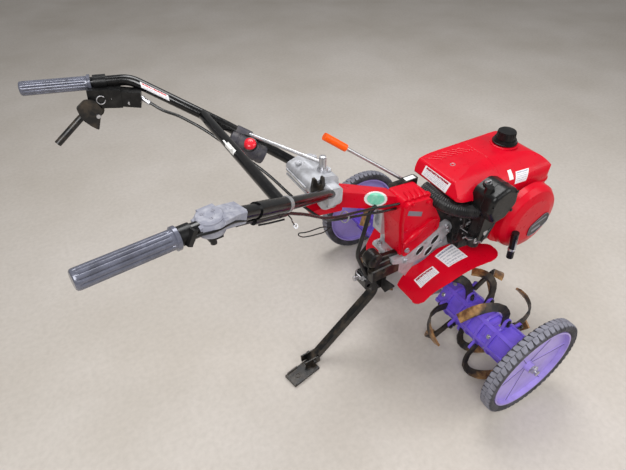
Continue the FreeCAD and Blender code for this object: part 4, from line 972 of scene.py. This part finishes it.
# Sleeve ring, earth wire with its terminal, wire loop, and the clip round the cables
start, end = at(*lower(-642, RIGHT)), at(*lower(-634, RIGHT))
axis = (end - start).normalized()
piece("sleeve_ring", "clear_sleeve", [
    (add_rings, [start, start, end, end], [axis] * 4, [0.0147, 0.0157, 0.0157, 0.0147], 36)], "handle")
EARTH_WIRES = ((1.3, ((0, -16, -12), (6, -18, -22), (10, -10, -34), (16, -8, -46))),
               (1.8, ((-4, -10, -24), (-26, 0, -30), (-46, 12, -36))))
piece("earth_wire", "cable_sheath", [
    (pipe, rounded_line([lower(-644, RIGHT, *shift) for shift in shifts]), radius, 8)
    for radius, shifts in EARTH_WIRES], "handle")
piece("ring_terminal", "bare_steel", [
    (turned, lower(-644, RIGHT, 18, -8, -50), (0.3, -0.6, 0.6), collar(2.4, 5.6, 1.4), 20)], "handle")
LOOP = ((-485, -88, 645), (-502, -94, 655), (-546, -106, 667), (-574, -110, 680), (-560, -108, 660),
        (-530, -100, 646), (-491, -90, 632), (-470, -84, 634))
piece("wire_loop", "cable_sheath", [(pipe, rounded_line(LOOP), 1.4, 8)], "handle")
clip = piece("cable_clip", "clear_sleeve", [
    (turned, (-414, -60, 627), (0.9, 0.1, -0.4), collar(13, 14.6, 2, -2), 28)], None)
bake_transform(clip)


# Hose from the case down behind the holder, and the holder's lock pin
HOSE = ((-296, -30, 596), (-317, -34, 588), (-334, -36, 516), (-350, -36, 452), (-332, -34, 408),
        (-306, -30, 350))
piece("drain_hose", "black_rubber", [(pipe, rounded_line(HOSE), 6.0, 12)])
piece("holder_lock", "bare_steel", [
    (turned, (-300, -11, 312), (-0.8, 0, 0.6), [(0, 0), (7, 0), (7, 3), (5, 4), (5, 16), (0, 17)], 20),
    (pipe, rounded_line(((-306, -30, 330), (-318, -20, 336), (-318, 4, 336), (-306, 14, 330))), 1.8, 8)])


# Switch: barrel body under the left tube with a red dome and small knobs
barrel_from, barrel_to = (at(*lower(x, LEFT, 0, -22, -27)) for x in (-606, -538))
axis = (barrel_to - barrel_from).normalized()
length = (barrel_to - barrel_from).length * 1000
half = [(0, 0), (16, 0), (21, 2), (23, 7), (23, 16), (22, 17), (22, 20), (23, 21)]
profile = half + [(23, length - 22), (22, length - 21), (22, length - 18), (23, length - 17),
                  (23, length - 7),
                  (21, length - 2), (16, length), (9, length), (8, length - 1.5), (0, length - 1.5)]
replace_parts(piece("switch_barrel", "switch_grey", [
    (add_rings, [barrel_from + axis * (h / 1000) for _, h in profile], [axis] * len(profile),
     [r / 1000 for r, _ in profile], 40),
    (pipe, [at(*lower(-584, LEFT)), at(*lower(-556, LEFT))], 14.0, 28)], "handle"), "switch_box")
DOME_AXIS = (-0.2, -0.5, 0.85)
dome_base = lower(-566, LEFT, -4, -32, -8)
DOME = [(0, -2), (15, -2), (15.5, 0), (15, 3), (12, 6.5), (7, 8.5), (0, 9)]
KNOB = [(0, 0), (4.2, 0), (4.2, 3), (3, 4.4), (0, 4.6)]
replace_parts(piece("switch_dome", "red_plastic", [(turned, dome_base, DOME_AXIS, DOME, 32)], "handle"),
            "switch_rocker")
piece("switch_knobs", "white_label", [
    (turned, lower(-566 + dx, LEFT, 0, dy, dz + 5), DOME_AXIS, KNOB, 16)
    for dx, dy, dz in ((17, -22, -12), (23, -26, -16), (18, -32, -22))], "handle")
piece("switch_bezel", "black_plastic", [
    (turned, dome_base, DOME_AXIS, [(15.6, -3), (18, -3), (18, 1), (15.6, 1.6), (15.6, -3)], 32)], "handle")


# Throttle body: flat-topped body round the tube with a nose to the front, its screws and its cable
BODY = [(0, -16), (21, -16), (25, -4), (25, 2), (22, 7), (21, 7), (21, 9), (19, 11.5), (8, 11.5), (7, 10.5),
        (0, 10.5)]
SCREW = [(0, 0), (2.6, 0), (2.6, 2.2), (1.2, 2.2), (1.0, 1.4), (0, 1.4)]
WIRE = ((-842, -306, 922), (-826, -309, 928), (-800, -311, 926), (-772, -298, 922), (-748, -288, 908))
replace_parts(piece("throttle_body", "grey_plastic", [
    (turned, (-800, -285, 926), UP, BODY, 40),
    (bar, (-812, -270, 934), (-786, -264, 932), 9, 8),
    (bar, (-786, -302, 930), (-762, -290, 924), 9, 8),
    (bolt, (-770, -277, 929), (0.2, 0, 1), 7, 3, 0.6),
    (bar, (-792, -285, 926), (-752, -273, 914), 35, 24),
    (bar, (-822, -290, 924), (-800, -286, 926), 27, 20)], "handle"), "throttle_housing")
piece("throttle_screws", "plate_grey", [
    (turned, (-800 + dx, -285 + dy, 936), UP, SCREW, 14) for dx, dy in ((-9, 5), (8, 6), (0, -10))], "handle")
piece("throttle_wire", "cable_sheath", [(pipe, rounded_line(WIRE), 2.2, 10)], "handle")


# Clutch: cam plate of the lever, retaining ring, roller and screws
CLUTCH_FACE_Y = 259.0
CAM_CORNERS = [(-898, 894), (-878, 908), (-858, 904), (-848, 880), (-857, 862), (-867, 836), (-881, 850),
               (-894, 868)]
cam = rounded_outline(CAM_CORNERS, 5, CLUTCH_FACE_Y - 2)
piece("clutch_cam", "worn_black", [(plate, cam, 7)], "handle")
ring = [at(-845 + 9 * cos(a), CLUTCH_FACE_Y - 1, 900 + 9 * sin(a))
        for a in (0.6 + pi * k / 12 for k in range(22))]
piece("clutch_ring", "bare_steel", [
    (pipe, ring, 1.3, 8),
    (turned, (-860, CLUTCH_FACE_Y - 5, 868), TO_RIGHT, [(0, 0), (4.6, 0), (4.6, 3), (0, 3)], 20),
    (bar, (-824, CLUTCH_FACE_Y, 899), (-817, CLUTCH_FACE_Y, 897), 6, 5),
    (bolt, (-790, 252, 884), TO_RIGHT, 8, 3, 0.8)], "handle")
tip = lower(-762, LEFT, 0, -22, -28)
lead = lower(-738, LEFT, 0, -30, -34)
axis = (at(*lead) - at(*tip)).normalized()
ADJUSTER = [(0, 0), (6.5, 0), (6.5, 5), (4.4, 5), (4.4, 16), (6, 16), (6, 21), (3.6, 22)]
piece("cable_adjuster", "bare_steel", [(turned, tip, axis, ADJUSTER, 18)], "handle")


# Floor, light and camera
FLOOR_HALF = 6.0


def floor_finish():
    material, tree, shader = new_finish("pale_floor")
    stains = remap(tree, noise(tree, 1.6), 0.3, 0.75)
    base = mixed(tree, stains, srgb(206, 199, 192), srgb(188, 180, 170))
    speckle = remap(tree, noise(tree, 60.0), 0.35, 0.8, 0.0, 0.25)
    put(tree, shader, {"Base Color": mixed(tree, speckle, base, srgb(150, 142, 132)), "Roughness": 0.8})
    return material


FINISHES["pale_floor"] = floor_finish()
form = bmesh.new()
corners = [(-1, -1), (1, -1), (1, 1), (-1, 1)]
form.faces.new([form.verts.new((i * FLOOR_HALF, j * FLOOR_HALF, 0)) for i, j in corners])
floor = publish("floor", form, "pale_floor", None)

CAMERA_AT = Vector((-0.5936, -0.8112, 1.3463))
CAMERA_RIGHT = Vector((0.8652, -0.5015, 0.0))
CAMERA_FORWARD = Vector((0.3819, 0.6589, -0.6481))
CAMERA_LENS = 27.54
camera_data = bpy.data.cameras.new("camera")
camera_data.lens = CAMERA_LENS
camera_data.sensor_width = 36.0
camera = link_new("camera", camera_data)
toward = CAMERA_FORWARD.normalized()
rightward = (CAMERA_RIGHT - toward * CAMERA_RIGHT.dot(toward)).normalized()
upward = rightward.cross(toward)
turned_to = Matrix((rightward, upward, -toward)).transposed().to_4x4()
camera.matrix_world = Matrix.Translation(CAMERA_AT) @ turned_to
bpy.context.scene.camera = camera

LAMP_TARGET = Vector((0.1, 0, 0.4))
SKY_STRENGTH = 0.3
# Lamp, place in metres, size in metres, power in watts
LAMPS = (
    ("key", (-1.6, -1.6, 2.6), 1.4, 68.0),
    ("fill", (1.8, -1.8, 2.0), 1.8, 30.0),
    ("back", (0.6, 0.9, 3.2), 1.5, 52.0),
)
for name, place, size, power in LAMPS:
    lamp_data = bpy.data.lights.new(name, "AREA")
    lamp_data.size = size
    lamp_data.energy = power
    lamp = link_new(name, lamp_data)
    lamp.location = place
    lamp.rotation_euler = (LAMP_TARGET - Vector(place)).to_track_quat("-Z", "Y").to_euler()
world = bpy.data.worlds.new("sky")
world.use_nodes = True
world.node_tree.nodes["Background"].inputs["Color"].default_value = (1.0, 1.0, 1.0, 1.0)
world.node_tree.nodes["Background"].inputs["Strength"].default_value = SKY_STRENGTH
bpy.context.scene.world = world
bpy.context.scene.view_settings.view_transform = "Standard"
